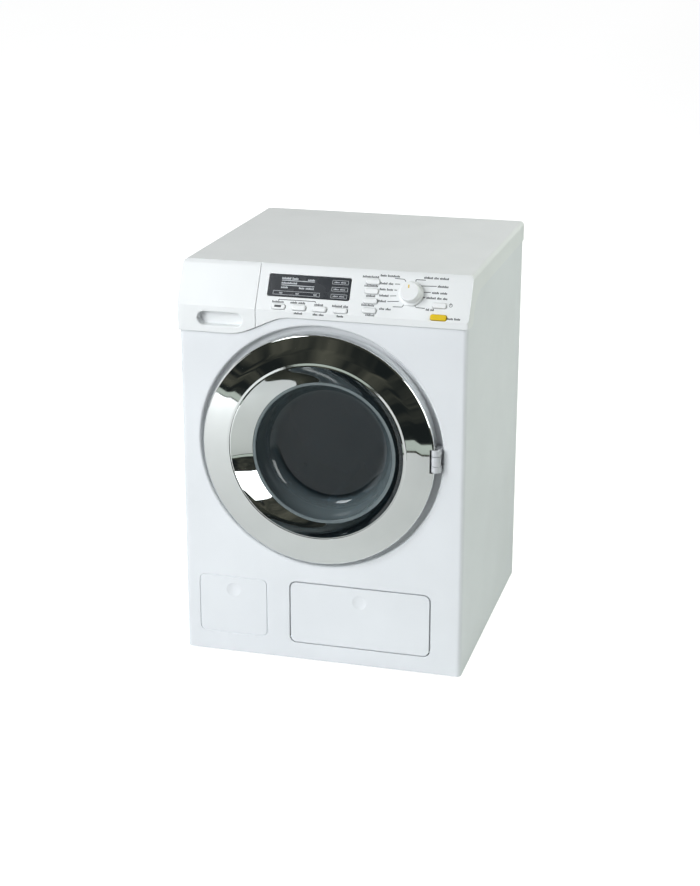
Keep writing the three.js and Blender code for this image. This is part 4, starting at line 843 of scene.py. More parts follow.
# %% Places of the keys, the display and the dial
DISPLAY = (-34.7 * MM, 17.1 * MM, 9.3 * MM, 23.1 * MM)
KEY = (8.6 * MM, 3.2 * MM)
OPEN_KEY = (9.8 * MM, 3.4 * MM)
POWER_KEY = (73.5 * MM, 9.8 * MM)
DOOR_KEY = (73.7 * MM, 2.4 * MM)
KEY_RADIUS = 1.2 * MM
ROW_PITCH = 13.13 * MM
COLUMN_PITCH = 6.05 * MM
ROW_START = (-26.6 * MM, 2.6 * MM)
COLUMN_START = (30.7 * MM, 3.9 * MM)
DIAL = (55.4 * MM, 15.9 * MM)

keys = {}
for i in range(4):
    place = (ROW_START[0] + ROW_PITCH * i, ROW_START[1])
    keys[f"row_key_{i}" if i else "start_key"] = (place, KEY)
for i in range(4):
    keys[f"side_key_{4 - i}"] = ((COLUMN_START[0], COLUMN_START[1] + COLUMN_PITCH * i), KEY)
keys["power_key"] = (POWER_KEY, KEY)
keys["door_key"] = (DOOR_KEY, OPEN_KEY)


def key_outline(name, grow, radius=KEY_RADIUS):
    (u, v), (width, height) = keys[name]
    return rounded_box(u - width / 2 - grow, u + width / 2 + grow, v - height / 2 - grow,
                       v + height / 2 + grow, radius, 8)


print(len(keys), "keys placed")


# %% Tabs that guide the cover into the cabinet
TAB_LENGTH = 8 * MM
TAB_REACH = 6 * MM
TAB_THICKNESS = 1.6 * MM
TAB_SHARES = (0.5, 0.86)


def cover_tabs():
    tabs = []
    outer = INSIDE - FIT_GAP
    for side in (-1, 1):
        for share in TAB_SHARES:
            depths = (DEPTH * share - TAB_LENGTH / 2, DEPTH * share + TAB_LENGTH / 2)
            near, far = side * (outer - TAB_THICKNESS), side * outer
            wide = side * (HALF_COVER - COVER_WALL / 2)
            tabs.append(box_at("tab", sorted((near, far)), depths,
                               (SIDE_SEAM - TAB_REACH, SIDE_SEAM + TAB_REACH)))
            tabs.append(box_at("tab_foot", sorted((near, wide)), depths,
                               (SIDE_SEAM + SEAM_GAP, SIDE_SEAM + TAB_REACH)))
    return tabs


print(2 * len(TAB_SHARES), "tabs")

# %% Holes and posts behind the panel
BOARD_INSET = 9 * MM
POST_RADIUS = 1.6 * MM
POSTS = [(u, v) for u in (-38 * MM, 85.6 * MM) for v in (4 * MM, 23.2 * MM)]
SHAFT_HOLE_RADIUS = 2.3 * MM


def panel_disc(name, centre, radius, low, high, segments=64):
    return prism(name, circle(centre, radius, segments), on_panel, low, high)


def panel_holes():
    span = (-COVER_WALL - OVER, OVER)
    holes = [prism("key_hole", key_outline(name, FIT_GAP, KEY_RADIUS + FIT_GAP), on_panel, *span)
             for name in keys]
    left, right, low, high = DISPLAY
    window = rounded_box(left - FIT_GAP, right + FIT_GAP, low - FIT_GAP, high + FIT_GAP, KEY_RADIUS)
    holes.append(prism("window_hole", window, on_panel, *span))
    holes.append(panel_disc("shaft_hole", DIAL, SHAFT_HOLE_RADIUS, *span))
    return holes


print(len(keys) + 2, "holes and", len(POSTS), "posts")


# %% Top cover
def top_cover():
    cover = cover_blank(0)
    envelope = plus(prism("wave", above_wave(0), front_view, -4 * PANEL_PROUD, SIDE_FOOT / 2),
                    prism("skirt", above_side_seam(0), side_view, -HALF_COVER * 1.5, HALF_COVER * 1.5))
    within(cover, envelope)
    ledge = box_at("ledge", (-FAR, FAR), (COVER_WALL - PANEL_PROUD + FIT_GAP, SIDE_FOOT),
                   (0, PANEL_SEAM))
    drawer_zone = prism("drawer_zone", front_zone(DRAWER_PLATE + SEAM_GAP), side_view, -FAR,
                        DRAWER_RIGHT + DRAWER_GAP / 2)
    minus(cover, cover_blank(COVER_WALL), drawer_zone, ledge)
    length = (-COVER_WALL / 2, -BOARD_INSET + FIT_GAP)
    plus(cover, *cover_tabs(), *[panel_disc("post", post, POST_RADIUS, *length, 24) for post in POSTS])
    minus(cover, *panel_holes())
    return soften(cover, 0.25 * MM)


install(top_cover(), cover_plastic, "cabinet", "white_plastic", "top_cover")

# %% [markdown]
# Detergent drawer. Its front continues the panel's slope, drops to the wavy seam and has a long
# hand slot with a rounded lip. It could be modelled on its own, but it is cut out of the same blank as
# the cover, so the two faces lie in one plane. The slot's tool flares like the door recess, only
# smaller.

# %% Drawer front
HANDLE = (-79.1 * MM, -50 * MM, 221.8 * MM, 230.3 * MM)
HANDLE_DEPTH = 6 * MM
HANDLE_RIM = 0.9 * MM
POCKET_WALL = 1.6 * MM


def handle_outline(grow):
    left, right, low, high = HANDLE
    radius = (high - low) / 2 + grow - 0.1 * MM
    return rounded_box(left - grow, right + grow, low - grow, high + grow, radius)


def drawer_front():
    plate = within(cover_blank(0),
                   prism("plate", front_zone(DRAWER_PLATE), side_view, -HALF_COVER * 1.2,
                         HALF_COVER * 1.2),
                   prism("wave", above_wave(0), front_view, -4 * PANEL_PROUD, DEPTH / 2),
                   box_at("left", (-1.5 * FAR, DRAWER_RIGHT - DRAWER_GAP / 2),
                          (-3 * PANEL_PROUD, PLATE_EDGE - SEAM_GAP / 2), (OVER, TOP + 3 * OVER)))
    plate.name = "drawer_face"
    plus(plate, prism("pocket", handle_outline(POCKET_WALL), front_view,
                      DRAWER_PLATE / 2 - PANEL_PROUD, HANDLE_DEPTH + POCKET_WALL - PANEL_PROUD))
    minus(plate, flared("hand_slot", handle_outline, -PANEL_PROUD, HANDLE_DEPTH - PANEL_PROUD,
                        HANDLE_RIM))
    return soften(plate, 0.25 * MM)


install(drawer_front(), cover_plastic, "drawer", "white_plastic", "drawer_front")

# %% [markdown]
# Door ring. The ring is a plated moulding. Its outer face is slightly crowned and ends in a sharp ridge,
# and inside the ridge a funnel leads down to the glass. The funnel's circles slide off centre as they
# deepen, so the funnel is wider on one side. A plain lathe can't do that: each circle of the profile
# gets its own centre here.

# %% Funnel of the door ring
RIDGE_RADIUS = 56.3 * MM
RIDGE_FLAT = 0.3 * MM
RIDGE_PROUD = 9.3 * MM
THROAT_RADIUS = 46.4 * MM
THROAT_DEPTH = 1.8 * MM
SHIFT = Vector((1.6 * MM, -3.5 * MM))
FUNNEL_STEPS = 20
FUNNEL_SAG = 0.5 * MM
THROAT_CENTRE = (DOOR_X + SHIFT.x, DOOR_Z + SHIFT.y)


def funnel_curve(grow, room, start):
    """Nearly straight cone from the ridge to the throat as (radius, depth, share of the shift)."""
    points = []
    for i in range(FUNNEL_STEPS + 1):
        share = start + (1 - start) * i / FUNNEL_STEPS
        radius = RIDGE_RADIUS - RIDGE_FLAT + (THROAT_RADIUS - RIDGE_RADIUS + RIDGE_FLAT) * share
        depth = -RIDGE_PROUD + (THROAT_DEPTH + RIDGE_PROUD) * share
        sag = FUNNEL_SAG * math.sin(math.pi * share)
        points.append((radius + sag + grow + room * share, depth + grow * (1 - share), share))
    return points


print("the funnel narrows from", round(RIDGE_RADIUS / MM, 1), "to", round(THROAT_RADIUS / MM, 1), "mm")

# %% Door ring
RING_WALL = 2.2 * MM
RING_BACK = 4.6 * MM
RIM_INSIDE = 72.8 * MM
FUNNEL_START = 0.03
pin_low, pin_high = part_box("hinge_pin")
HINGE_X = (pin_low.x + pin_high.x) / 2
HINGE_Z = (pin_low.z + pin_high.z) / 2
HINGE_NOTCH = ((HINGE_X - 3.35 * MM, HINGE_X + 6.1 * MM), (HINGE_Z - 7.6 * MM, HINGE_Z + 7.6 * MM))


def door_ring():
    """The face is drawn as corners of (radius, depth, rounding), from the crest out and back."""
    crest = (RIDGE_RADIUS - RIDGE_FLAT, -RIDGE_PROUD)
    face = eased([
        (*crest, 0.35 * MM), (56.75 * MM, -9.3 * MM, 0.45 * MM), (57.9 * MM, -8.6 * MM, 1.2 * MM),
        (65.6 * MM, -7.5 * MM, 90 * MM), (75 * MM, -5.75 * MM, 1.6 * MM),
        (75 * MM, RING_BACK, 0.4 * MM), (RIM_INSIDE, RING_BACK, 0.4 * MM),
        (RIM_INSIDE, -3.2 * MM, 0.6 * MM), (71.2 * MM, -3.7 * MM, 0)], 10)
    under = [(r, d, 0) for r, d, _ in funnel_curve(RING_WALL, SHIFT.length, 0)]
    inner = funnel_curve(0, 0, FUNNEL_START)
    profile = [(r, d, 0) for r, d in face] + under + list(reversed(inner))
    rings = []
    for r, d, share in profile:
        centre = (DOOR_X + SHIFT.x * share, DOOR_Z + SHIFT.y * share)
        rings.append([row(x, d, z) for x, z in circle(centre, r, 2 * ROUND)])
    ring = loft("door_ring", rings, closed=True)
    minus(ring, box_at("hinge_notch", HINGE_NOTCH[0], (-RIDGE_PROUD, RECESS_DEPTH), HINGE_NOTCH[1]))
    return shade(ring)


install(door_ring(), chrome_plating, "door", "chrome_plating", "door_frame")

# %% [markdown]
# Door bowl. The bowl is one clear smoked moulding: a flange that the back ring clamps, a curved wall
# and a flat floor. A single skin would show the same outline, but light would cross it as if it were
# solid behind. A wall of even thickness is turned here, so light bends as it does in the real bowl.

# %% Door bowl
BOWL_DEPTH = 22 * MM
BOWL_FLOOR = 34.5 * MM
BOWL_WALL = 2 * MM
FLANGE = 3 * MM
FLANGE_THICKNESS = 1.5 * MM
SEAT_DEPTH = THROAT_DEPTH + FIT_GAP
LIP_RADIUS = 0.5 * MM
FLANGE_CHAMFER = 0.2 * MM
BOWL_STEPS = 32
MOST_HAZE = 0.45


def bowl_curve(inset):
    start = SEAT_DEPTH + FLANGE_THICKNESS
    points = []
    for i in range(BOWL_STEPS + 1):
        turn = math.pi / 2 * i / BOWL_STEPS
        radius = BOWL_FLOOR - inset + (THROAT_RADIUS - BOWL_FLOOR) * math.cos(turn)
        points.append((radius, start + (BOWL_DEPTH - start) * math.sin(turn) - inset * math.sin(turn)))
    return points


def door_bowl():
    outer = bowl_curve(0)
    inner = bowl_curve(BOWL_WALL)
    rim = THROAT_RADIUS + FLANGE
    lip = arc((THROAT_RADIUS - BOWL_WALL + LIP_RADIUS, SEAT_DEPTH + LIP_RADIUS), LIP_RADIUS, -2, -1, 6)
    profile = [(0, inner[-1][1]), *reversed(inner), *lip, (rim - FLANGE_CHAMFER, SEAT_DEPTH),
               (rim, SEAT_DEPTH + FLANGE_CHAMFER), (rim, SEAT_DEPTH + FLANGE_THICKNESS), *outer,
               (0, BOWL_DEPTH)]
    return shade(turned("door_bowl", profile, THROAT_CENTRE))


satin_wall(smoked_tree, smoked_shader, THROAT_CENTRE, (BOWL_FLOOR, THROAT_RADIUS), MOST_HAZE)
install(door_bowl(), smoked_plastic, "door", "smoked_glass", "door_glass")

# %% [markdown]
# Back ring. It closes the chrome moulding from behind and holds the bowl's flange. A flat ring would
# do, but the real one has a seat for the flange and ways for the hook and the hinge arm, so it is cut
# like the cabinet.

# %% Back ring of the door
BACK_RING_THICKNESS = 2.7 * MM
HOOK_WAY = (-70.6 * MM, -65 * MM)
HOOK_WAY_HALF = 5.3 * MM


def back_ring():
    front = SEAT_DEPTH
    back = front + BACK_RING_THICKNESS
    ring = disc("back_ring", RIM_INSIDE - FIT_GAP, front, back)
    seat = (front - OVER, front + FLANGE_THICKNESS + FIT_GAP)
    minus(ring,
          disc("opening", THROAT_RADIUS + SEAM_GAP, front - OVER, back + OVER, THROAT_CENTRE),
          disc("seat", THROAT_RADIUS + FLANGE + FIT_GAP, *seat, THROAT_CENTRE),
          box_at("hook_way", HOOK_WAY, (front - 2 * OVER, back + 2 * OVER),
                 (DOOR_Z - HOOK_WAY_HALF, DOOR_Z + HOOK_WAY_HALF)),
          box_at("hinge_way", HINGE_NOTCH[0], (-RIDGE_PROUD, 2 * RECESS_DEPTH), HINGE_NOTCH[1]))
    return soften(ring, 0.3 * MM)


install(back_ring(), grey_plastic, "door", "grey_plastic", "door_back_ring")

# %% [markdown]
# Door seal. It is a soft sleeve between the cabinet's mouth and the tub, with folds that let it give.
# The folds could be left to a bump, but they show from the side when the door is open, so the wall is
# drawn as a wave and turned.

# %% Door seal
SEAL_RADIUS = 50.4 * MM
SEAL_BACK = 20 * MM
SEAL_LIP_REACH = 57 * MM
SEAL_LIP_RADIUS = 0.3 * MM
FOLDS = 3
FOLD_HEIGHT = 0.55 * MM
FOLD_MARGIN = 0.5 * MM
FOLD_STEPS = 40


def door_seal():
    """A sleeve with a rounded front lip and a folded wall."""
    outer = MOUTH_RADIUS - FIT_GAP
    lip_back = RECESS_DEPTH - FIT_GAP
    lip_front = lip_back - 2 * SEAL_LIP_RADIUS
    lip = arc((SEAL_LIP_REACH, (lip_front + lip_back) / 2), SEAL_LIP_RADIUS, -1, 1, 6)
    folds = []
    for i in range(FOLD_STEPS + 1):
        share = i / FOLD_STEPS
        depth = lip_back + FOLD_MARGIN + (SEAL_BACK - lip_back - 2 * FOLD_MARGIN) * share
        wave = FOLD_HEIGHT * (1 - math.cos(share * FOLDS * 2 * math.pi)) / 2
        folds.append((SEAL_RADIUS + wave, depth))
    edge = SEAL_RADIUS + SEAL_LIP_RADIUS
    profile = [(edge, lip_front), *lip, (outer, lip_back), (outer, SEAL_BACK), (edge, SEAL_BACK),
               *reversed(folds)]
    return shade(turned("door_seal_sleeve", profile))


install(door_seal(), matt_rubber, "cabinet", "rubber", "door_seal")

# %% [markdown]
# Hinge. It is a block with two lugs, an arm with a barrel between them and a steel pin through all
# three. A single block would look the same from the front, but then the door could not swing away from
# it, so the arm rides on the door and the block stays on the cabinet.

# %% Values of the hinge
HINGE_HALF = 3.05 * MM
HINGE_DEPTH = -3.2 * MM
BLOCK = (HINGE_Z - 7.3 * MM, HINGE_Z + 7.3 * MM)
BLOCK_BACK = RECESS_DEPTH - FIT_GAP
LUG = 4 * MM
ARM_LENGTH = 14 * MM
ARM_THICKNESS = 3 * MM
PIN_RADIUS = (pin_high.x - pin_low.x) / 2
print("hinge pin", round(2 * PIN_RADIUS / MM, 1), "mm thick")


# %% Hinge block and hinge arm
def upright_rod(name, radius, low, high, centre, segments=48):
    return prism(name, circle(centre, radius, segments), plan_view, low, high)


def hinge_block():
    nose = arc((HINGE_X, HINGE_DEPTH), HINGE_HALF, 2, 4, 16)
    plan = [*nose, (HINGE_X + HINGE_HALF, BLOCK_BACK), (HINGE_X - HINGE_HALF, BLOCK_BACK)]
    block = prism("door_hinge_block", plan, plan_view, *BLOCK)
    room = box_at("room", (HINGE_X - 2 * HINGE_HALF, HINGE_X + 2 * HINGE_HALF),
                  (-RIDGE_PROUD, BLOCK_BACK - HINGE_HALF), (BLOCK[0] + LUG, BLOCK[1] - LUG))
    minus(block, room, upright_rod("bore", PIN_RADIUS + FIT_GAP, BLOCK[0] - OVER, BLOCK[1] + OVER,
                                   (HINGE_X, HINGE_DEPTH), 32))
    return soften(block, 0.3 * MM)


def hinge_arm():
    span = (BLOCK[0] + LUG + FIT_GAP, BLOCK[1] - LUG - FIT_GAP)
    back = SEAT_DEPTH - FIT_GAP
    arm = box_at("door_hinge_strap", (HINGE_X - ARM_LENGTH, HINGE_X), (back - ARM_THICKNESS, back), span)
    plus(arm, upright_rod("barrel", HINGE_HALF, span[0] + SLIVER, span[1] - SLIVER,
                          (HINGE_X, HINGE_DEPTH)))
    minus(arm, upright_rod("bore", PIN_RADIUS + FIT_GAP, span[0] - OVER, span[1] + OVER,
                           (HINGE_X, HINGE_DEPTH), 32))
    return soften(arm, 0.2 * MM)


install(hinge_block(), hinge_plastic, "cabinet", "grey_plastic", "hinge_block")
install(hinge_arm(), hinge_plastic, "door", "grey_plastic", "door_hinge_arm")

# %% Hinge pin
pin = upright_rod("hinge_steel_pin", PIN_RADIUS, pin_low.z, pin_high.z, (HINGE_X, HINGE_DEPTH), 32)
install(soften(pin, 0.2 * MM), zinc_steel, "cabinet", "steel", "hinge_pin")

# %% [markdown]
# Repeated details. Screws, feet, drum perforations, sound holes and grip ribs are one shape set down
# many times. A loop could place them, but Geometry Nodes does it well and shows how: a small network
# places copies of a shape in a row or in a ring, and its inputs are named in plain words. The network
# ends by making the copies real and giving them their finish, and the result is kept as a plain mesh.

# %% Parts that both networks share
def math_node(group, operation, *values):
    node = group.nodes.new("ShaderNodeMath")
    node.operation = operation
    for socket, value in zip(node.inputs, values):
        if isinstance(value, float):
            socket.default_value = value
        else:
            group.links.new(value, socket)
    return node.outputs[0]


def finish_copies(group, given, points, facing):
    nodes, link = group.nodes, group.links.new
    shape = nodes.new("GeometryNodeObjectInfo")
    link(given["Shape"], shape.inputs["Object"])
    copies = nodes.new("GeometryNodeInstanceOnPoints")
    link(points, copies.inputs["Points"])
    link(shape.outputs["Geometry"], copies.inputs["Instance"])
    if facing:
        link(facing, copies.inputs["Rotation"])
    real = nodes.new("GeometryNodeRealizeInstances")
    link(copies.outputs[0], real.inputs[0])
    coat = nodes.new("GeometryNodeSetMaterial")
    link(real.outputs[0], coat.inputs["Geometry"])
    link(given["Finish"], coat.inputs["Material"])
    link(coat.outputs[0], nodes.new("NodeGroupOutput").inputs["Geometry"])


print("every network ends in Realize Instances and Set Material")


# %% Network for rings of copies
def ring_network():
    """Copies of one shape set in a ring round the Y axis, in several levels along it."""
    group = bpy.data.node_groups.new("ring_of_copies", "GeometryNodeTree")
    group.interface.new_socket("Shape", in_out="INPUT", socket_type="NodeSocketObject")
    for name, kind, value in (("Around", "NodeSocketInt", 12), ("Levels", "NodeSocketInt", 1),
                              ("Radius", "NodeSocketFloat", 0.01), ("Level Step", "NodeSocketFloat", 0.01),
                              ("First Angle", "NodeSocketFloat", 0.0), ("Sweep", "NodeSocketFloat", 1.0)):
        socket = group.interface.new_socket(name, in_out="INPUT", socket_type=kind)
        socket.default_value = value
    group.interface.new_socket("Finish", in_out="INPUT", socket_type="NodeSocketMaterial")
    group.interface.new_socket("Geometry", in_out="OUTPUT", socket_type="NodeSocketGeometry")
    nodes, link = group.nodes, group.links.new
    given = nodes.new("NodeGroupInput").outputs
    total = math_node(group, "MULTIPLY", given["Around"], given["Levels"])
    line = nodes.new("GeometryNodeMeshLine")
    link(total, line.inputs["Count"])
    index = nodes.new("GeometryNodeInputIndex").outputs[0]
    turn = math_node(group, "MODULO", index, given["Around"])
    level = math_node(group, "FLOOR", math_node(group, "DIVIDE", index, given["Around"]))
    step = math_node(group, "DIVIDE", given["Sweep"], given["Around"])
    angle = math_node(group, "ADD", math_node(group, "MULTIPLY", turn, step), given["First Angle"])
    place = nodes.new("ShaderNodeCombineXYZ")
    link(math_node(group, "MULTIPLY", math_node(group, "COSINE", angle), given["Radius"]),
         place.inputs["X"])
    link(math_node(group, "MULTIPLY", level, given["Level Step"]), place.inputs["Y"])
    link(math_node(group, "MULTIPLY", math_node(group, "SINE", angle), given["Radius"]),
         place.inputs["Z"])
    move = nodes.new("GeometryNodeSetPosition")
    link(line.outputs["Mesh"], move.inputs["Geometry"])
    link(place.outputs[0], move.inputs["Position"])
    facing = nodes.new("ShaderNodeCombineXYZ")
    link(math_node(group, "MULTIPLY", angle, -1.0), facing.inputs["Y"])
    finish_copies(group, given, move.outputs["Geometry"], facing.outputs[0])
    return group


rings_of_copies = ring_network()
print(rings_of_copies.name, "has", len(rings_of_copies.nodes), "nodes")


# %% Network for rows of copies
def row_network():
    """Copies of one shape set in a straight row, or in several rows one above the other."""
    group = bpy.data.node_groups.new("rows_of_copies", "GeometryNodeTree")
    group.interface.new_socket("Shape", in_out="INPUT", socket_type="NodeSocketObject")
    for name, kind in (("Along", "NodeSocketInt"), ("Rows", "NodeSocketInt"),
                       ("Step", "NodeSocketVector"), ("Row Step", "NodeSocketVector")):
        group.interface.new_socket(name, in_out="INPUT", socket_type=kind)
    group.interface.new_socket("Finish", in_out="INPUT", socket_type="NodeSocketMaterial")
    group.interface.new_socket("Geometry", in_out="OUTPUT", socket_type="NodeSocketGeometry")
    nodes, link = group.nodes, group.links.new
    given = nodes.new("NodeGroupInput").outputs
    line = nodes.new("GeometryNodeMeshLine")
    link(math_node(group, "MULTIPLY", given["Along"], given["Rows"]), line.inputs["Count"])
    index = nodes.new("GeometryNodeInputIndex").outputs[0]
    column = math_node(group, "MODULO", index, given["Along"])
    level = math_node(group, "FLOOR", math_node(group, "DIVIDE", index, given["Along"]))
    total = nodes.new("ShaderNodeVectorMath")
    total.operation = "ADD"
    for slot, (factor, step) in enumerate(((column, given["Step"]), (level, given["Row Step"]))):
        scale = nodes.new("ShaderNodeVectorMath")
        scale.operation = "SCALE"
        link(step, scale.inputs[0])
        link(factor, scale.inputs["Scale"])
        link(scale.outputs[0], total.inputs[slot])
    move = nodes.new("GeometryNodeSetPosition")
    link(line.outputs["Mesh"], move.inputs["Geometry"])
    link(total.outputs[0], move.inputs["Position"])
    finish_copies(group, given, move.outputs["Geometry"], None)
    return group


rows_of_copies = row_network()
print(rows_of_copies.name, "has", len(rows_of_copies.nodes), "nodes")


# %% Running a network
def copies(name, network, shape, place, finish, **values):
    """Runs a network and returns the copies as one plain mesh, moved to their place."""
    obj = bpy.data.objects.new(name, bpy.data.meshes.new(name))
    bpy.context.scene.collection.objects.link(obj)
    step = obj.modifiers.new("copies", "NODES")
    step.node_group = network
    values = {"Shape": shape, "Finish": finish,
              **{key.replace("_", " ").title(): value for key, value in values.items()}}
    for item in network.interface.items_tree:
        if item.in_out == "INPUT" and item.name in values:
            step[item.identifier] = values[item.name]
    obj.update_tag()
    settle(obj)
    obj.data.transform(Matrix.Translation(place))
    bpy.data.objects.remove(shape)
    return obj


print("networks ready:", rings_of_copies.name, rows_of_copies.name)

# %% [markdown]
# Wash drum. It is a grey moulded cup with a rolled mouth, three lifters and rows of round perforations.
# Dark dots in the finish would pass from afar, but light has to fall through real holes. They are cut by
# pins that the ring network lays out: three groups of two columns, one between each pair of lifters.

# %% Values of the drum
DRUM_RADIUS = 56 * MM
DRUM_MOUTH = 49.5 * MM
DRUM_WALL = 1.8 * MM
DRUM_SPAN = (26 * MM, 107 * MM)
HOLE_RADIUS = 1.9 * MM
HOLE_LEVELS = 3
HOLE_COLUMNS = 2
HOLE_START = -130
HOLE_SWEEP = math.radians(-80)
LIFTERS = 3
LIFTER = (14 * MM, 5 * MM, 11 * MM)
LIFTER_EASE = 1.4 * MM
LIFTER_INSET = 5 * MM
AXLE_RADIUS = 3.3 * MM
HUB_RADIUS = 9 * MM
HUB_DEPTH = 7 * MM
SOCKET_DEPTH = 5.2 * MM
print("drum", round(2 * DRUM_RADIUS / MM), "mm wide,", round((DRUM_SPAN[1] - DRUM_SPAN[0]) / MM), "mm long")


# %% Lifters
def lifter(angle):
    """A blunt paddle that stands on the wall and points to the axis."""
    base, top, height = LIFTER
    low = DRUM_RADIUS - DRUM_WALL / 2
    high = DRUM_RADIUS - DRUM_WALL - height
    drawing = eased([(low, -base / 2, 0), (low, base / 2, 0), (high, top / 2, LIFTER_EASE),
                     (high, -top / 2, LIFTER_EASE)], 6)
    turn = [(DOOR_X + a * math.cos(angle) - b * math.sin(angle),
             DOOR_Z + a * math.sin(angle) + b * math.cos(angle)) for a, b in drawing]
    return prism("lifter", turn, front_view, DRUM_SPAN[0] + DRUM_WALL + LIFTER_INSET,
                 DRUM_SPAN[1] - DRUM_WALL / 2)


lifter_angles = [math.radians(360 / LIFTERS * i - 90) for i in range(LIFTERS)]
print(LIFTERS, "lifters at", [round(math.degrees(angle)) for angle in lifter_angles], "degrees")


# %% Pins that cut the perforations
def hole_pins():
    front, back = DRUM_SPAN
    step = (back - front) / (HOLE_LEVELS + 1)
    groups = []
    for i in range(LIFTERS):
        pin = loft("pin", [[Vector((x, y, z)) for y, z in circle((0, 0), HOLE_RADIUS, 24)]
                           for x in (-2 * DRUM_WALL, 2 * DRUM_WALL)])
        groups.append(copies("hole_pins", rings_of_copies, pin, row(DOOR_X, front + step, DOOR_Z),
                             drum_plastic, around=HOLE_COLUMNS, levels=HOLE_LEVELS,
                             radius=DRUM_RADIUS, level_step=step, sweep=HOLE_SWEEP,
                             first_angle=math.radians(HOLE_START - 360 / LIFTERS * i)))
    return groups


print("perforations", round(2 * HOLE_RADIUS / MM, 1), "mm wide")


# %% Drum
def drum():
    front, back = DRUM_SPAN
    r, t = DRUM_RADIUS, DRUM_WALL
    profile = eased([
        (DRUM_MOUTH, front, 0.6 * MM), (r, front, 2 * MM), (r, back, 3 * MM), (AXLE_RADIUS, back, 0),
        (AXLE_RADIUS, back - SOCKET_DEPTH, 0), (0, back - SOCKET_DEPTH, 0), (0, back - HUB_DEPTH, 0),
        (HUB_RADIUS, back - HUB_DEPTH, 1 * MM), (HUB_RADIUS, back - t, 0), (r - t, back - t, 2 * MM),
        (r - t, front + t, 0.8 * MM), (DRUM_MOUTH, front + t, 0.6 * MM)], 8)
    cup = turned("wash_drum", profile)
    plus(cup, *[lifter(angle) for angle in lifter_angles])
    minus(cup, *hole_pins())
    return soften(cup, 0.25 * MM)


install(drum(), drum_plastic, "drum_unit", "drum_plastic", "drum")

# %% [markdown]
# Keys. They are small pillows that stand a little proud, each with a lip behind the panel that holds it
# and a stem that meets its switch. All ten have one drawing, so one function makes them from the table
# of places, and only the size and the finish change.

# %% Keys
KEY_PROUD = 1.3 * MM
KEY_EASE = 0.8 * MM
CAP_GROWTH = 0.08 * MM
CAP_OVERLAP = 0.5 * MM
LIP_REACH = 0.4 * MM
LIP_TOP = -COVER_WALL - FIT_GAP
LIP_LOW = LIP_TOP - 1 * MM
STEM_INSET = 0.2
STEM_RADIUS = 0.2 * MM
STEM_OVERLAP = 0.2 * MM
STEM_LOW = -6.2 * MM


def push_key(name):
    height = keys[name][1][1]
    cap = prism(f"{name}_cap", key_outline(name, CAP_GROWTH), on_panel, LIP_TOP - CAP_OVERLAP, KEY_PROUD)
    soften(cap, KEY_EASE, 5)
    plus(cap, prism("lip", key_outline(name, LIP_REACH), on_panel, LIP_LOW, LIP_TOP),
         prism("stem", key_outline(name, -height * STEM_INSET, STEM_RADIUS), on_panel, STEM_LOW,
               LIP_LOW + STEM_OVERLAP))
    return shade(cap)


KEY_NODES = {"start_key": "start_button", "power_key": "power_button", "door_key": "door_button",
             **{f"row_key_{i}": f"row_button_{i}" for i in (1, 2, 3)},
             **{f"side_key_{i}": f"side_button_{i}" for i in (1, 2, 3, 4)}}
for name, node_name in KEY_NODES.items():
    finish, slot = (yellow_plastic, "yellow_plastic") if name == "door_key" else \
        (key_plastic, "white_plastic")
    install(push_key(name), finish, name, slot, node_name)

# %% [markdown]
# Dial. It is a stepped knob: a wide foot, a slope and a slightly tapered grip, with a yellow mark near
# its upper edge. Its profile is turned about a line that stands out of the slope, and its bore takes
# the shaft. The mark is a piece of its own, because it is printed in another colour.

# %% Dial
DIAL_SEGMENTS = 96
DIAL_BORE = (2.1 * MM, 5.34 * MM)
DIAL_FOOT = (7.7 * MM, 1.6 * MM)
GRIP_LOW = (6.4 * MM, 2.5 * MM)
GRIP_TOP = (5.9 * MM, 7.2 * MM)
MARK = (-0.9 * MM, -0.1 * MM, 1.7 * MM, 3.9 * MM)
MARK_RADIUS = 0.38 * MM
MARK_SPAN = (-0.1 * MM, 0.2 * MM)


def dial():
    """The profile is drawn as corners of (radius, height, rounding), from the bore out and up."""
    profile = eased([
        (0, DIAL_BORE[1], 0), (*DIAL_BORE, 0), (DIAL_BORE[0], FIT_GAP, 0),
        (DIAL_FOOT[0], FIT_GAP, 0.3 * MM), (*DIAL_FOOT, 0.6 * MM), (*GRIP_LOW, 0.5 * MM),
        (*GRIP_TOP, 0.8 * MM), (0, GRIP_TOP[1], 0)], 8)
    rings = [[on_panel(u, v, h) for u, v in circle(DIAL, r, DIAL_SEGMENTS)] for r, h in profile]
    return shade(loft("programme_dial", rings, closed=True))


def dial_mark():
    left, right, low, high = MARK
    mark = rounded_box(DIAL[0] + left, DIAL[0] + right, DIAL[1] + low, DIAL[1] + high, MARK_RADIUS, 6)
    under, over = [GRIP_TOP[1] + step for step in MARK_SPAN]
    return soften(prism("dial_mark", mark, on_panel, under, over), 0.08 * MM, 2)


install(dial(), key_plastic, "dial", "white_plastic", "dial_knob")
install(dial_mark(), yellow_plastic, "dial", "yellow_plastic")

# %% [markdown]
# Display. It is a dark window set just below the face, with a lip behind the panel. It could be painted
# on the cover, but a pane of its own has its own gloss and a thin shadow line all round.

# %% Display window
DISPLAY_LEVEL = -0.2 * MM
DISPLAY_LIP = 1 * MM


def display_window():
    left, right, low, high = DISPLAY
    pane = prism("display_pane", rounded_box(*DISPLAY, KEY_RADIUS), on_panel, LIP_TOP - 0.3 * MM,
                 DISPLAY_LEVEL)
    lip = rounded_box(left - DISPLAY_LIP, right + DISPLAY_LIP, low - DISPLAY_LIP, high + DISPLAY_LIP,
                      KEY_RADIUS)
    plus(pane, prism("lip", lip, on_panel, LIP_TOP - 0.8 * MM, LIP_TOP))
    return soften(pane, 0.25 * MM)


install(display_window(), display_plastic, "cabinet", "display_glass", "display_window")

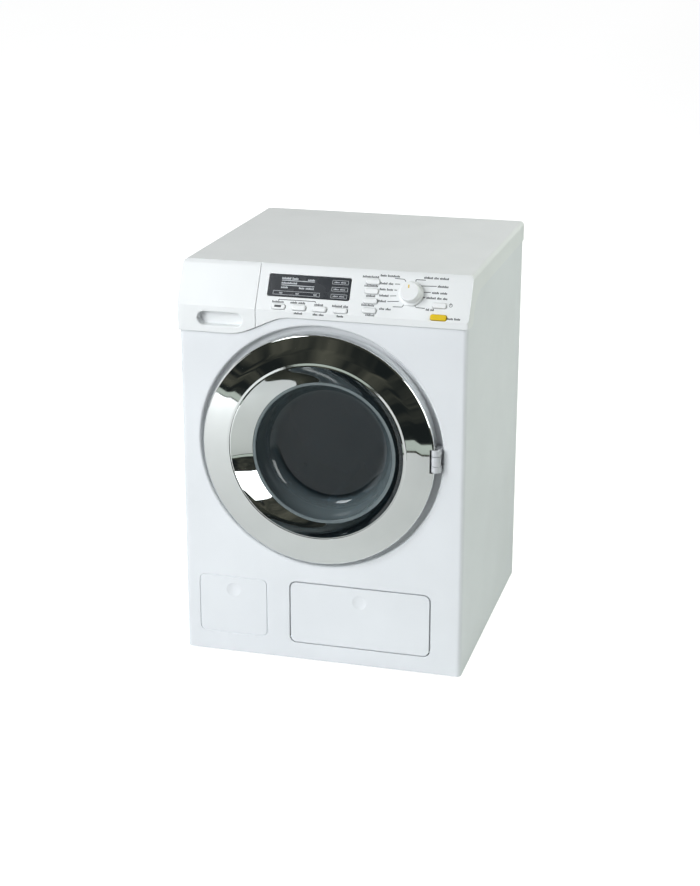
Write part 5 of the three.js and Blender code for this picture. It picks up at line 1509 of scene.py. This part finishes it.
# %% [markdown]
# Printing. Small marks are printed on the panel: short words beside the keys, fine leader lines from
# the dial to its programme names, and a picture in the display. Each mark is a very thin raised film.
# A word is a row of small upright strokes, which is how print of this size looks from arm's length.

# %% Bars and lines of print
FILM = 0.03 * MM
LINE_WIDTH = 0.42 * MM


def printed(name, bars, place, level):
    """One mesh of thin four-cornered bars. Each bar is four (u, v) corners."""
    bm = bmesh.new()
    for bar in bars:
        add_loft(bm, [[place(u, v, level + h) for u, v in bar] for h in (-FILM, FILM)])
    return as_object(name, bm)


def bar(u0, v0, u1, v1):
    return [(u0, v0), (u1, v0), (u1, v1), (u0, v1)]


def line(start, end, width=LINE_WIDTH):
    a, b = Vector(start), Vector(end)
    side = (b - a).normalized().orthogonal() * width / 2
    return [tuple(a - side), tuple(b - side), tuple(b + side), tuple(a + side)]


def path(points, width=LINE_WIDTH):
    """Bars along a way through points in mm."""
    return [line([c * MM for c in a], [c * MM for c in b], width) for a, b in zip(points, points[1:])]


print("a printed line is", round(LINE_WIDTH / MM, 2), "mm wide")

# %% Words of print
WORD_HEIGHT = 1.4 * MM
WORD_GAP = 0.7
LETTER_PITCH = 0.78
LETTER_WIDTH = 0.56
LETTER_HEIGHTS = (1, 0.72, 0.72, 0.9, 0.72)


def words(left, right, middle, lengths, height=WORD_HEIGHT):
    """Rows of small marks as long as words of these relative lengths, from left to right in mm."""
    scale = (right - left - WORD_GAP * (len(lengths) - 1)) / sum(lengths)
    low = middle * MM - height / 2
    bars, at = [], left
    for length in lengths:
        count = max(1, round(length * scale / LETTER_PITCH))
        pitch = length * scale / count
        for i in range(count):
            tall = height * LETTER_HEIGHTS[(i + count) % len(LETTER_HEIGHTS)]
            start = (at + pitch * i) * MM
            bars.append(bar(start, low, start + pitch * LETTER_WIDTH / LETTER_PITCH * MM, low + tall))
        at += length * scale + WORD_GAP
    return bars


print("a word of 10 mm has", len(words(0, 10, 0, (1,))), "strokes")

# %% Words and leader lines on the panel
WORDS = [
    (-31, -23.5, 5.7, (1,)), (-19.3, -9.8, 5.8, (1, 1)), (-4, 1.6, 5.4, (1,)), (7.2, 17.4, 5.4, (2, 1)),
    (-16.4, -11, -0.8, (1,)), (-4.4, 2.6, -0.8, (1, 1)), (10.8, 15, -0.9, (1,)),
    (24, 34.3, 25.1, (1,)), (25.7, 34.4, 19.5, (1,)), (27.6, 33.4, 13.2, (1,)), (25.4, 33.4, 7.3, (1,)),
    (28.6, 34.4, 1.2, (1,)),
    (35, 47.2, 26.4, (1, 2)), (34.1, 43.6, 21.5, (2, 1)), (35.5, 43.8, 17.8, (1, 1)),
    (35.7, 41.6, 13.9, (1,)), (34.9, 40.4, 10.4, (1,)), (36.7, 44, 5.6, (1, 1)),
    (62, 77.4, 26.7, (2, 1, 2)), (71, 77.7, 21.7, (1,)), (68, 77.4, 17.6, (1, 1)),
    (65, 77.9, 14.3, (2, 1, 1)), (65.4, 70.5, 7.0, (1, 1)), (79, 87.2, 2.2, (1, 1)),
]
LEADERS = [
    ((44, 25.1), (50.1, 24.8), (51, 23.5)), ((44.5, 21.5), (47.7, 21.6)), ((44.6, 17.8), (46.3, 17.7)),
    ((42.4, 13.9), (46.2, 14.2)), ((41.2, 10.4), (48.2, 10.9)), ((44.9, 7.3), (50.6, 7.5), (51.5, 8.9)),
    ((57, 23.9), (57.3, 25.1), (63.2, 25.1)), ((60, 21.3), (70.3, 21.7)), ((61.8, 17.5), (67.1, 17.7)),
    ((62.2, 14.4), (64.2, 14.3)), ((58.1, 9.4), (59.3, 7.8), (64.7, 7.6)),
    ((-27, 7.2), (-3.7, 7.3)), ((-27, 7.2), (-27, 6.5)), ((-3.7, 7.3), (-3.7, 6.5)),
]
panel_bars = [b for place in WORDS for b in words(*place)]
panel_bars += [b for points in LEADERS for b in path(points)]
print(len(WORDS), "labels and", len(LEADERS), "leader lines")

# %% Power sign, start bar and the printing itself
POWER_SIGN = (80.3, 10.4)
SIGN_RADIUS = 0.95
SIGN_WIDTH = 0.3 * MM
SIGN_STROKE = 1.4
START_BAR = (-28.9 * MM, 2 * MM, -24.6 * MM, 3.3 * MM)

sign = circle(POWER_SIGN, SIGN_RADIUS, 28)
panel_bars += path([*sign, sign[0]], SIGN_WIDTH)
panel_bars += path([POWER_SIGN, (POWER_SIGN[0], POWER_SIGN[1] + SIGN_STROKE)])
grey_print = plastic("dark_grey_print", (0.045, 0.05, 0.055), roughness=0.5, drift=0.06)
install(printed("panel_print", panel_bars, on_front, 0), grey_print, "cabinet", "dark_plastic")
install(printed("start_key_print", [bar(*START_BAR)], on_panel, KEY_PROUD), grey_print, "start_key",
        "dark_plastic")

# %% Picture in the display
LEFT, RIGHT, LOW, HIGH = [value / MM for value in DISPLAY]
FRAME_WIDTH = 0.2 * MM
PICTURE_WORDS = [
    (8, 18.5, 2.2, (3, 2), 1.5), (24.5, 29, 2.5, (1,), 1.1), (8, 18, 5.2, (3,), 1.2),
    (8, 12.5, 8, (1,), 1.2), (19.5, 29, 8, (2, 3), 1.2),
]


def frame_bars(left, right, low, high):
    return path([(left, low), (right, low), (right, high), (left, high), (left, low)], FRAME_WIDTH)


picture = []
for left, right, drop, lengths, tall in PICTURE_WORDS:
    picture += words(LEFT + left, LEFT + right, HIGH - drop, lengths, tall * MM)
for drop in (3.6, 6.6):
    picture += path([(LEFT + 8, HIGH - drop), (LEFT + 29, HIGH - drop)])
picture += frame_bars(LEFT + 3.4, LEFT + 33, LOW + 1.1, LOW + 3.4)
for place in (7.4, 17.8, 29.2):
    picture += words(LEFT + place, LEFT + place + 2, LOW + 2.2, (1,), 1 * MM)
for drop in (1.6, 6, 10.4):
    picture += frame_bars(RIGHT - 11.6, RIGHT - 1.6, HIGH - drop - 2.4, HIGH - drop)
    picture += words(RIGHT - 10.4, RIGHT - 3, HIGH - drop - 1.2, (1, 1), 0.8 * MM)
display_print = plastic("display_segments", (0.6, 0.63, 0.66), roughness=0.3, drift=0.05)
install(printed("display_picture", picture, on_panel, DISPLAY_LEVEL), display_print, "cabinet",
        "display_glass")

# %% [markdown]
# Service flap. A flat plate with round corners closes the lower opening. It turns on two short pins
# near its lower edge and has a fingertip dimple near the top, like the blind panel beside it. It is
# drawn from the same outline as its opening, less the gap, so the dark line round it stays even.

# %% Flap
FLAP_THICKNESS = 2.2 * MM
FLAP_PIN_RADIUS = 0.7 * MM


def flap_pin(xs):
    return prism("pin", circle(FLAP_AXIS, FLAP_PIN_RADIUS, 24), side_view, *xs)


def service_flap():
    left, right, _, high = FLAP
    plate = prism("lower_flap", flap_outline(0), front_view, 0, FLAP_THICKNESS)
    plus(plate, flap_pin((left - FLAP_PIN_LENGTH, left + FLAP_RADIUS)),
         flap_pin((right - FLAP_RADIUS, right + FLAP_PIN_LENGTH)))
    minus(plate, dimple((left + right) / 2, high - DIMPLE_DROP))
    return soften(plate, 0.3 * MM)


install(service_flap(), white_plastic, "flap", "white_plastic", "service_flap")

# %% [markdown]
# Back. A grey panel slides in between the sides and is held by four screws in sunk seats. Sound
# holes sit over the speaker, and a separate cover with one screw closes the battery box. The ring
# network lays out the sound holes, and the row network lays out screws, feet and grip ribs.

# %% Values of the back
BACK = (BACK_FRONT, DEPTH - 0.2 * MM)
SCREW_HEAD = 3 * MM
SCREW_SEAT = 1.5 * MM
SCREW_BORE = 1.5 * MM
COVER_HALF = 55.2 * MM
COVER_SPAN = (6.1 * MM, 59.7 * MM)
COVER_TAB = (6 * MM, 67.7 * MM)
COVER_SCREW = (0, 63.7 * MM)
SPEAKER = (52 * MM, 200 * MM)
SOUND_HOLES = 8
SOUND_HOLE_RADIUS = 1.3 * MM
SOUND_RING = 10 * MM
print("back panel", round((BACK[1] - BACK[0]) / MM, 1), "mm thick")


# %% Tools that cut the back
def battery_outline(grow, radius):
    tab, tab_top = COVER_TAB
    low, high = COVER_SPAN
    half = COVER_HALF + grow
    tab += grow
    return eased([(-half, low - grow, radius), (half, low - grow, radius), (half, high + grow, radius),
                  (tab, high + grow, radius / 2), (tab, tab_top + grow, radius),
                  (-tab, tab_top + grow, radius), (-tab, high + grow, radius / 2),
                  (-half, high + grow, radius)], 6)


def screw_seat(place):
    return [disc("bore", SCREW_BORE, BACK[0] - OVER, BACK[1] + OVER, place, 32),
            disc("seat", SCREW_HEAD + FIT_GAP, BACK[1] - SCREW_SEAT, BACK[1] + 2 * OVER, place, 48)]


def sound_pins():
    """Pins for a ring of holes and for one more in its middle."""
    start = row(SPEAKER[0], BACK[0] - OVER, SPEAKER[1])
    groups = []
    for name, around, radius in (("sound_pins", SOUND_HOLES, SOUND_RING), ("sound_pin", 1, 0.0)):
        pin = loft("pin", [[Vector((x, y, z)) for x, z in circle((0, 0), SOUND_HOLE_RADIUS, 24)]
                           for y in (0, 4 * OVER)])
        groups.append(copies(name, rings_of_copies, pin, start, grey_plastic, around=around, levels=1,
                             radius=radius, level_step=MM, first_angle=0.0, sweep=2 * math.pi))
    return groups


print(SOUND_HOLES + 1, "sound holes")


# %% Back panel
def back_panel():
    half = INSIDE - FIT_GAP
    plate = box_at("rear_panel", (-half, half), BACK, (BODY_LOW + 0.4 * MM, SIDE_SEAM - SEAM_GAP))
    opening = prism("battery_way", battery_outline(FIT_GAP, 0.9 * MM), front_view, BACK[0] - OVER,
                    BACK[1] + OVER)
    seats = [tool for place in screw_places() for tool in screw_seat(place)]
    minus(plate, opening, *seats, *sound_pins())
    return soften(plate, 0.25 * MM)


install(back_panel(), grey_plastic, "cabinet", "grey_plastic", "back_panel")


# %% Battery cover
def battery_cover():
    plate = prism("battery_lid", battery_outline(0, 0.6 * MM), front_view, *BACK)
    minus(plate, *screw_seat(COVER_SCREW))
    return soften(plate, 0.3 * MM)


install(battery_cover(), grey_plastic, "cabinet", "grey_plastic", "battery_cover")

# %% Grip ribs on the battery cover
RIBS = 6
RIB_PITCH = 1.9 * MM
RIB_LENGTH = 30 * MM
RIB_HEIGHT = 0.8 * MM
RIB_ROUND = 0.3 * MM
RIB_DEPTHS = (-0.1 * MM, 0.18 * MM)
RIB_START = (-RIB_LENGTH / 2, 46 * MM)
rib = eased([(0, 0, RIB_ROUND), (RIB_LENGTH, 0, RIB_ROUND), (RIB_LENGTH, RIB_HEIGHT, RIB_ROUND),
             (0, RIB_HEIGHT, RIB_ROUND)], 4)
rib_shape = loft("rib", [[Vector((x, y, z)) for x, z in rib] for y in RIB_DEPTHS])
ribs = copies("battery_lid_ribs", rows_of_copies, rib_shape, row(RIB_START[0], BACK[1], RIB_START[1]),
              grey_plastic, along=1, rows=RIBS, step=(0, 0, 0), row_step=(0, 0, RIB_PITCH))
install(soften(ribs, 0.08 * MM, 2), grey_plastic, "cabinet", "grey_plastic")

# %% [markdown]
# Screws. The back is held by countersunk cross-head screws. A drawn circle would do from afar, but the
# cross catches the light as it should only when it is cut. One screw is made, and the row network sets
# it down at the four corners.

# %% Shape of a screw
SCREW_HEAD_HEIGHT = 1.2 * MM
SCREW_SHANK = 1.2 * MM
SCREW_LENGTH = 14 * MM
CROSS_LONG = 2 * MM
CROSS_THIN = 0.45 * MM
CROSS_DEPTH = 0.6 * MM


def screw_shape():
    """A countersunk cross-head screw whose head faces +Y at the origin."""
    profile = eased([
        (0, 0, 0), (SCREW_HEAD, 0, 0.4 * MM), (SCREW_HEAD, -SCREW_HEAD_HEIGHT, 0.1 * MM),
        (SCREW_SHANK, -SCREW_HEAD_HEIGHT, 0), (SCREW_SHANK, 0.4 * MM - SCREW_LENGTH, 0),
        (0, -SCREW_LENGTH, 0)], 5)
    shape = loft("screw", [[Vector((x, y, z)) for x, z in circle((0, 0), r, 48)] for r, y in profile],
                 closed=True)
    for a, b in ((CROSS_LONG, CROSS_THIN), (CROSS_THIN, CROSS_LONG)):
        slot = loft("slot", [[Vector((x, y, z)) for x, z in ((-a, -b), (a, -b), (a, b), (-a, b))]
                             for y in (-CROSS_DEPTH, OVER)])
        minus(shape, slot)
    return shape


print("a screw is", round(SCREW_LENGTH / MM), "mm long")

# %% Back screws and cover screw
low_left, high_left = screw_places()[0], screw_places()[1]
screws = copies("back_screws", rows_of_copies, screw_shape(), row(low_left[0], BACK[1], low_left[1]),
                zinc_steel, along=2, rows=2, step=(-2 * low_left[0], 0, 0),
                row_step=(0, 0, high_left[1] - low_left[1]))
install(soften(screws, 0.06 * MM, 2), zinc_steel, "cabinet", "steel", "back_screw_left_low",
        "back_screw_left_high", "back_screw_right_low", "back_screw_right_high")
lid_screw = copies("battery_lid_screw", rows_of_copies, screw_shape(),
                   row(COVER_SCREW[0], BACK[1], COVER_SCREW[1]), zinc_steel, along=1, rows=1,
                   step=(0, 0, 0), row_step=(0, 0, 0))
install(soften(lid_screw, 0.06 * MM, 2), zinc_steel, "cabinet", "steel", "battery_cover_screw")

# %% [markdown]
# Feet. Each foot is a round rubber pad with a plug that is pushed into the base plate. The four are
# alike, so one is turned and the row network sets it down in two rows of two.

# %% Rubber feet
PAD_RADIUS = 7 * MM
PAD_HEIGHT = 1.3 * MM
PLUG_RADIUS = 2.2 * MM
PLUG_TOP = 4.9 * MM


def foot_shape():
    profile = eased([
        (0, 0, 0), (PAD_RADIUS, 0, 0.3 * MM), (PAD_RADIUS, PAD_HEIGHT, 0.2 * MM),
        (PLUG_RADIUS, PAD_HEIGHT, 0), (PLUG_RADIUS, PLUG_TOP, 0.5 * MM), (0, PLUG_TOP, 0)], 5)
    return loft("foot", [[Vector((x, y, z)) for x, y in circle((0, 0), r, 48)] for r, z in profile],
                closed=True)


foot_low, foot_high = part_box("front_left_foot")
rear_low, rear_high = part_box("rear_right_foot")
foot_place = (foot_low + foot_high) / 2
far_place = (rear_low + rear_high) / 2
feet = copies("rubber_feet", rows_of_copies, foot_shape(), (foot_place.x, foot_place.y, 0),
              matt_rubber, along=2, rows=2, step=(far_place.x - foot_place.x, 0, 0),
              row_step=(0, far_place.y - foot_place.y, 0))
install(shade(feet), matt_rubber, "cabinet", "rubber", "front_left_foot", "front_right_foot",
        "rear_left_foot", "rear_right_foot")

# %% [markdown]
# Inner pieces. Tray, housings, tub, gears, motor and battery box have plain shapes on the real
# machine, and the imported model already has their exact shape. Drawing them again would only risk
# a mismatch, so each is copied, its facets are merged, its edges are rounded a little and it gets its
# finish.

# %% Lists of the inner pieces
FINISHES = {
    "white_plastic": white_plastic, "grey_plastic": grey_plastic, "dark_plastic": dark_plastic,
    "smoked_glass": smoked_plastic, "yellow_plastic": yellow_plastic, "drum_plastic": drum_plastic,
    "steel": zinc_steel, "brass": turned_brass, "board": green_board, "rubber": matt_rubber,
    "cell_sleeve": cell_sleeve,
}
INNER = {
    "cabinet": ["base_plate", "door_catch", "tub", "drum_bearing", "gearbox_housing", "drive_motor",
                "drawer_housing", "dispenser_bay", "speaker", "battery_box", "battery_1", "battery_2",
                "battery_3", "battery_4", "lower_contact_strip", "upper_contact_strip",
                "circuit_board", "dial_switch"],
    "door": ["door_hook"],
    "drum_unit": ["drum_shaft", "drum_gear"],
    "pinion": ["motor_pinion"],
    "drawer": ["drawer_tray"],
    "dial": ["dial_shaft"],
}
EDGE_WIDTH = 0.2 * MM
TOOTH_EDGE = 0.08 * MM
print(sum(len(names) for names in INNER.values()), "inner pieces")


# %% Round off the inner pieces
def rounded_copy(node_name, width):
    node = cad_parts[node_name]
    piece = bpy.data.objects.new(node_name + "_piece", node.data.copy())
    piece.data.transform(node.matrix_world)
    bpy.context.scene.collection.objects.link(piece)
    return soften(piece, width, 2)


for body, names in INNER.items():
    for node_name in names:
        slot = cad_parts[node_name].material_slots[0].material.name.split(".")[0]
        toothed = "gear" in node_name or "pinion" in node_name
        piece = rounded_copy(node_name, TOOTH_EDGE if toothed else EDGE_WIDTH)
        install(piece, FINISHES[slot], body, slot, node_name)


# %% [markdown]
# Camera. The photograph was taken from a little above the machine and a little to its right. The place
# and the angles were measured from known corners of the cabinet, the panel and the door ring. It could
# be placed by eye, but only a measured camera lets each place be compared with the photograph.

# %% Camera
AZIMUTH = math.radians(15.2)
ELEVATION = math.radians(18.3)
ROLL = math.radians(0.09)
CAMERA_PLACE = (0.3015, -1.12795, 0.5087)
LENS = 74.3

lens = bpy.data.cameras.new("camera")
lens.lens = LENS
lens.sensor_width = 36
lens.clip_start = 0.05
lens.clip_end = 20
camera = bpy.data.objects.new("camera", lens)
turn = Matrix.Rotation(AZIMUTH, 4, "Z") @ Matrix.Rotation(math.pi / 2 - ELEVATION, 4, "X")
camera.matrix_world = Matrix.Translation(CAMERA_PLACE) @ turn @ Matrix.Rotation(ROLL, 4, "Z")
bpy.context.scene.collection.objects.link(camera)
bpy.context.scene.camera = camera
print("camera is", round((Vector(CAMERA_PLACE) - Vector((0, 0, TOP / 2))).length, 3), "m away")


# %% [markdown]
# Studio. The photograph is a catalogue picture: a white background, a broad soft light from the left
# and hardly any shadow. The floor is pale. One even world would also give a white background, but it
# would flatten the shapes, so the level depends on the kind of ray: white for the camera, a little less
# for mirrors, and only a soft fill for matt surfaces.

# %% Levels by kind of ray
FILL = 0.115
MIRRORED = 0.85
SEEN = 1.0


def any_ray(tree, names):
    """1 for rays of any of these kinds, and 0 for others."""
    path = tree.nodes.new("ShaderNodeLightPath")
    total = path.outputs[names[0]]
    for name in names[1:]:
        step = tree.nodes.new("ShaderNodeMath")
        step.operation = "MAXIMUM"
        tree.links.new(total, step.inputs[0])
        tree.links.new(path.outputs[name], step.inputs[1])
        total = step.outputs[0]
    return total


def level_by_ray(tree, matt, mirror, camera):
    """Three levels: for light on matt surfaces, for mirrors and glass, and for the camera."""
    result = None
    for rays, level in ((("Is Glossy Ray", "Is Transmission Ray"), mirror), (("Is Camera Ray",), camera)):
        step = tree.nodes.new("ShaderNodeMapRange")
        step.inputs["To Min"].default_value = matt
        step.inputs["To Max"].default_value = level
        if result:
            tree.links.new(result, step.inputs["To Min"])
        tree.links.new(any_ray(tree, rays), step.inputs["Value"])
        result = step.outputs["Result"]
    return result


print("matt, mirrored and seen levels:", FILL, MIRRORED, SEEN)

# %% World
world = bpy.data.worlds.new("studio")
world.use_nodes = True
background = world.node_tree.nodes["Background"]
background.inputs["Color"].default_value = (1, 1, 1, 1)
world.node_tree.links.new(level_by_ray(world.node_tree, FILL, MIRRORED, SEEN), background.inputs["Strength"])
bpy.context.scene.world = world
bpy.context.scene.view_settings.view_transform = "Standard"
print("world", world.name, "is set")

# %% [markdown]
# Lamps. A large lamp low on the left lights the front. A small window-like lamp above it gives the
# brighter left end of the panel's slope and the glints in the bowl. A weak one on the right keeps the
# side grey rather than dark, and one behind is for looking at the back. Their levels were fitted to the
# photograph's, one lamp at a time.

# %% Lamps
MIDDLE = Vector((0, 0, TOP / 2))


def lamp(name, azimuth, elevation, reach, size, power, colour):
    """A soft lamp that looks at the middle. Azimuth 0 is in front, and negative is to the left."""
    light = bpy.data.lights.new(name, "AREA")
    light.shape = "SQUARE"
    light.size = size
    light.energy = power
    light.color = colour
    obj = bpy.data.objects.new(name, light)
    turn = Matrix.Rotation(math.radians(azimuth), 4, "Z")
    direction = turn @ Matrix.Rotation(-math.radians(elevation), 4, "X") @ Vector((0, -1, 0))
    obj.matrix_world = (Matrix.Translation(MIDDLE + direction * reach)
                        @ (-direction).to_track_quat("-Z", "Y").to_matrix().to_4x4())
    bpy.context.scene.collection.objects.link(obj)
    print(name, "of", power, "W stands at", [round(part, 2) for part in obj.matrix_world.translation])
    return obj


front_lamp = lamp("front_lamp", -28, 20, 2, 1.2, 29.4, (0.96, 0.99, 1.0))
front_lamp.visible_glossy = False
lamp("window_lamp", -38, 40, 2, 0.5, 7.4, (0.97, 0.99, 1.0))
side_lamp = lamp("side_lamp", 100, 31.5, 1.01, 0.5, 5.7, (0.93, 1.0, 0.91))
side_lamp.visible_glossy = False
rear_lamp = lamp("rear_lamp", 205, 8, 2, 1.2, 8, (0.97, 0.99, 1.0))
rear_lamp.visible_glossy = False

# %% [markdown]
# Floor. It is a pale table that ends a little in front of the machine. The ring mirrors it, and there
# it is brighter on the lamp's side, so a painted shade darkens its colour gently to the right. An endless
# white floor would be simpler, but the ring would then be white all over, like paint.

# %% Floor finish
FLOOR_GLOW = 0.88
FLOOR_MIRROR_GLOW = 0.05
# The span and the colour of a painted shade that darkens the floor towards the right, where less lamp light
# falls.
PAINTED_SHADE_SPAN = (-0.35, 0.55)
PAINTED_SHADE_RIGHT = (0.48, 0.49, 0.49)


def floor_material():
    material, tree, shader = new_material("pale_floor")
    shader.inputs["Roughness"].default_value = 0.9
    shader.inputs["Specular IOR Level"].default_value = 0
    place = tree.nodes.new("ShaderNodeTexCoord")
    parts = tree.nodes.new("ShaderNodeSeparateXYZ")
    tree.links.new(place.outputs["Object"], parts.inputs["Vector"])
    # Painted shade: the floor's colour darkens across this span towards the right, standing in for the
    # lamp's falloff.
    across = tree.nodes.new("ShaderNodeMapRange")
    across.inputs["From Min"].default_value, across.inputs["From Max"].default_value = PAINTED_SHADE_SPAN
    tree.links.new(parts.outputs["X"], across.inputs["Value"])
    painted_shade_mix = tree.nodes.new("ShaderNodeMix")
    painted_shade_mix.data_type = "RGBA"
    painted_shade_mix.inputs["B"].default_value = (*PAINTED_SHADE_RIGHT, 1)
    tree.links.new(across.outputs["Result"], painted_shade_mix.inputs["Factor"])
    tree.links.new(tint(tree, noise(tree, 6, 4), (0.86, 0.87, 0.87), (0.88, 0.89, 0.89)),
                   painted_shade_mix.inputs["A"])
    tree.links.new(painted_shade_mix.outputs["Result"], shader.inputs["Base Color"])
    shader.inputs["Emission Color"].default_value = (1, 1, 1, 1)
    glow = level_by_ray(tree, 0.0, FLOOR_MIRROR_GLOW, FLOOR_GLOW)
    tree.links.new(glow, shader.inputs["Emission Strength"])
    return material


table_finish = floor_material()
print(table_finish.name, "made")

# %% Floor
EDGE_POINT = Vector((0.065, -0.60))
EDGE_ALONG = Vector((0.642, 0.355)).normalized()
EDGE_OUT = Vector((EDGE_ALONG.y, -EDGE_ALONG.x))
edge_ends = [EDGE_POINT + EDGE_ALONG * reach for reach in (-3.5, 3.5)]
floor_corners = [edge_ends[0], edge_ends[1], Vector((4, 6)), Vector((-4, 6))]
floor = loft("floor", [[Vector((*corner, z)) for corner in floor_corners] for z in (0, -0.01)])
floor.data.materials.append(table_finish)
print("floor ends", round(abs(EDGE_POINT.y), 2), "m in front of the machine")

# %% [markdown]
# Dark room. The plated ring mirrors what stands around the camera. In the photograph its upper half is
# almost black with faint brown streaks, and its lower half shows the pale table. So a dark sheet
# starts where the table ends, rises behind the camera and closes overhead. A thin greenish strip that
# glows along the table's edge gives a painted highlight of the lit edge, and a bright card on the right
# gives the white patch low in the funnel. These sheets are there for mirror rays only.

# %% Shape of a sheet
def sheet(name, corner_rows, material):
    """A grid of quads that only mirror rays can see."""
    bm = bmesh.new()
    grid = [[bm.verts.new(corner) for corner in corners] for corners in corner_rows]
    for first, second in zip(grid, grid[1:]):
        for i in range(len(first) - 1):
            bm.faces.new((first[i], first[i + 1], second[i + 1], second[i]))
    mesh = bpy.data.meshes.new(name)
    bm.to_mesh(mesh)
    bm.free()
    mesh.shade_smooth()
    obj = bpy.data.objects.new(name, mesh)
    bpy.context.scene.collection.objects.link(obj)
    obj.data.materials.append(material)
    obj.visible_camera = False
    obj.visible_diffuse = False
    obj.visible_shadow = False
    obj.visible_transmission = False
    print(name, "has", len(mesh.polygons), "faces")


def along_edge(profile, width):
    """A profile of (way out from the table's edge, height), carried along the edge."""
    ends = [EDGE_POINT + EDGE_ALONG * along for along in width]
    return [[Vector((*(end + EDGE_OUT * out), z)) for out, z in profile] for end in ends]


print("a sheet is seen by mirror rays only")


# %% Glow of a sheet
def glowing(name, scale, stretch, dark, light, positions=(0.42, 0.75)):
    """A sheet that only glows, with streaks from dark to light."""
    material, tree, shader = new_material(name)
    shader.inputs["Base Color"].default_value = (0, 0, 0, 1)
    shader.inputs["Specular IOR Level"].default_value = 0
    place = tree.nodes.new("ShaderNodeTexCoord")
    mapping = tree.nodes.new("ShaderNodeMapping")
    mapping.inputs["Scale"].default_value = stretch
    mapping.inputs["Rotation"].default_value = (0.3, 0.5, 0.2)
    tree.links.new(place.outputs["Object"], mapping.inputs["Vector"])
    streaks = tree.nodes.new("ShaderNodeTexNoise")
    streaks.inputs["Scale"].default_value = scale
    streaks.inputs["Detail"].default_value = 3
    streaks.inputs["Distortion"].default_value = 0.8
    tree.links.new(mapping.outputs["Vector"], streaks.inputs["Vector"])
    ramp = tree.nodes.new("ShaderNodeValToRGB")
    for element, position, colour in zip(ramp.color_ramp.elements, positions, (dark, light)):
        element.position = position
        element.color = (*colour, 1)
    tree.links.new(streaks.outputs["Fac"], ramp.inputs["Fac"])
    tree.links.new(ramp.outputs["Color"], shader.inputs["Emission Color"])
    shader.inputs["Emission Strength"].default_value = 1
    return material


print("a glow has streaks from dark to light")

# %% Dark room, glowing table edge and bright card
ROOM_WIDTH = (-7, 5)
ROOM_PROFILE = [(0, -0.02), (1.6, -0.02), (2.2, 0.2), (2.4, 0.9), (2.1, 1.9), (1.2, 2.5), (-3, 2.6)]
TABLE_GLOW_PROFILE = [(0.004, 0.004), (0.01, 0.016), (0.03, 0.022)]
CARD_CENTRE = Vector((1.1, -0.45, 0.62))
CARD_SIZE = (0.5, 0.78)

dark_room = glowing("dark_room", 0.9, (1, 1.6, 0.6), (0.011, 0.014, 0.014), (0.11, 0.11, 0.085), (0.4, 0.8))
# A glowing strip: a painted highlight of the table's lit edge, as the ring mirrors it.
table_rim = glowing("table_rim", 4, (1, 1, 1), (0.44, 0.5, 0.45), (0.5, 0.56, 0.51))
bright_card = glowing("bright_card", 2, (1, 1, 1), (4.6, 4.8, 4.8), (5, 5.2, 5.2))
print("three glows made")

# %% The sheets in their places
sheet("dark_room", along_edge(ROOM_PROFILE, ROOM_WIDTH), dark_room)
sheet("table_rim", along_edge(TABLE_GLOW_PROFILE, ROOM_WIDTH), table_rim)
across = Vector((CARD_CENTRE.y, -CARD_CENTRE.x, 0)).normalized() * CARD_SIZE[0] / 2
upright = Vector((0, 0, CARD_SIZE[1] / 2))
sheet("bright_card", [[CARD_CENTRE - across - upright, CARD_CENTRE + across - upright],
                      [CARD_CENTRE - across + upright, CARD_CENTRE + across + upright]], bright_card)
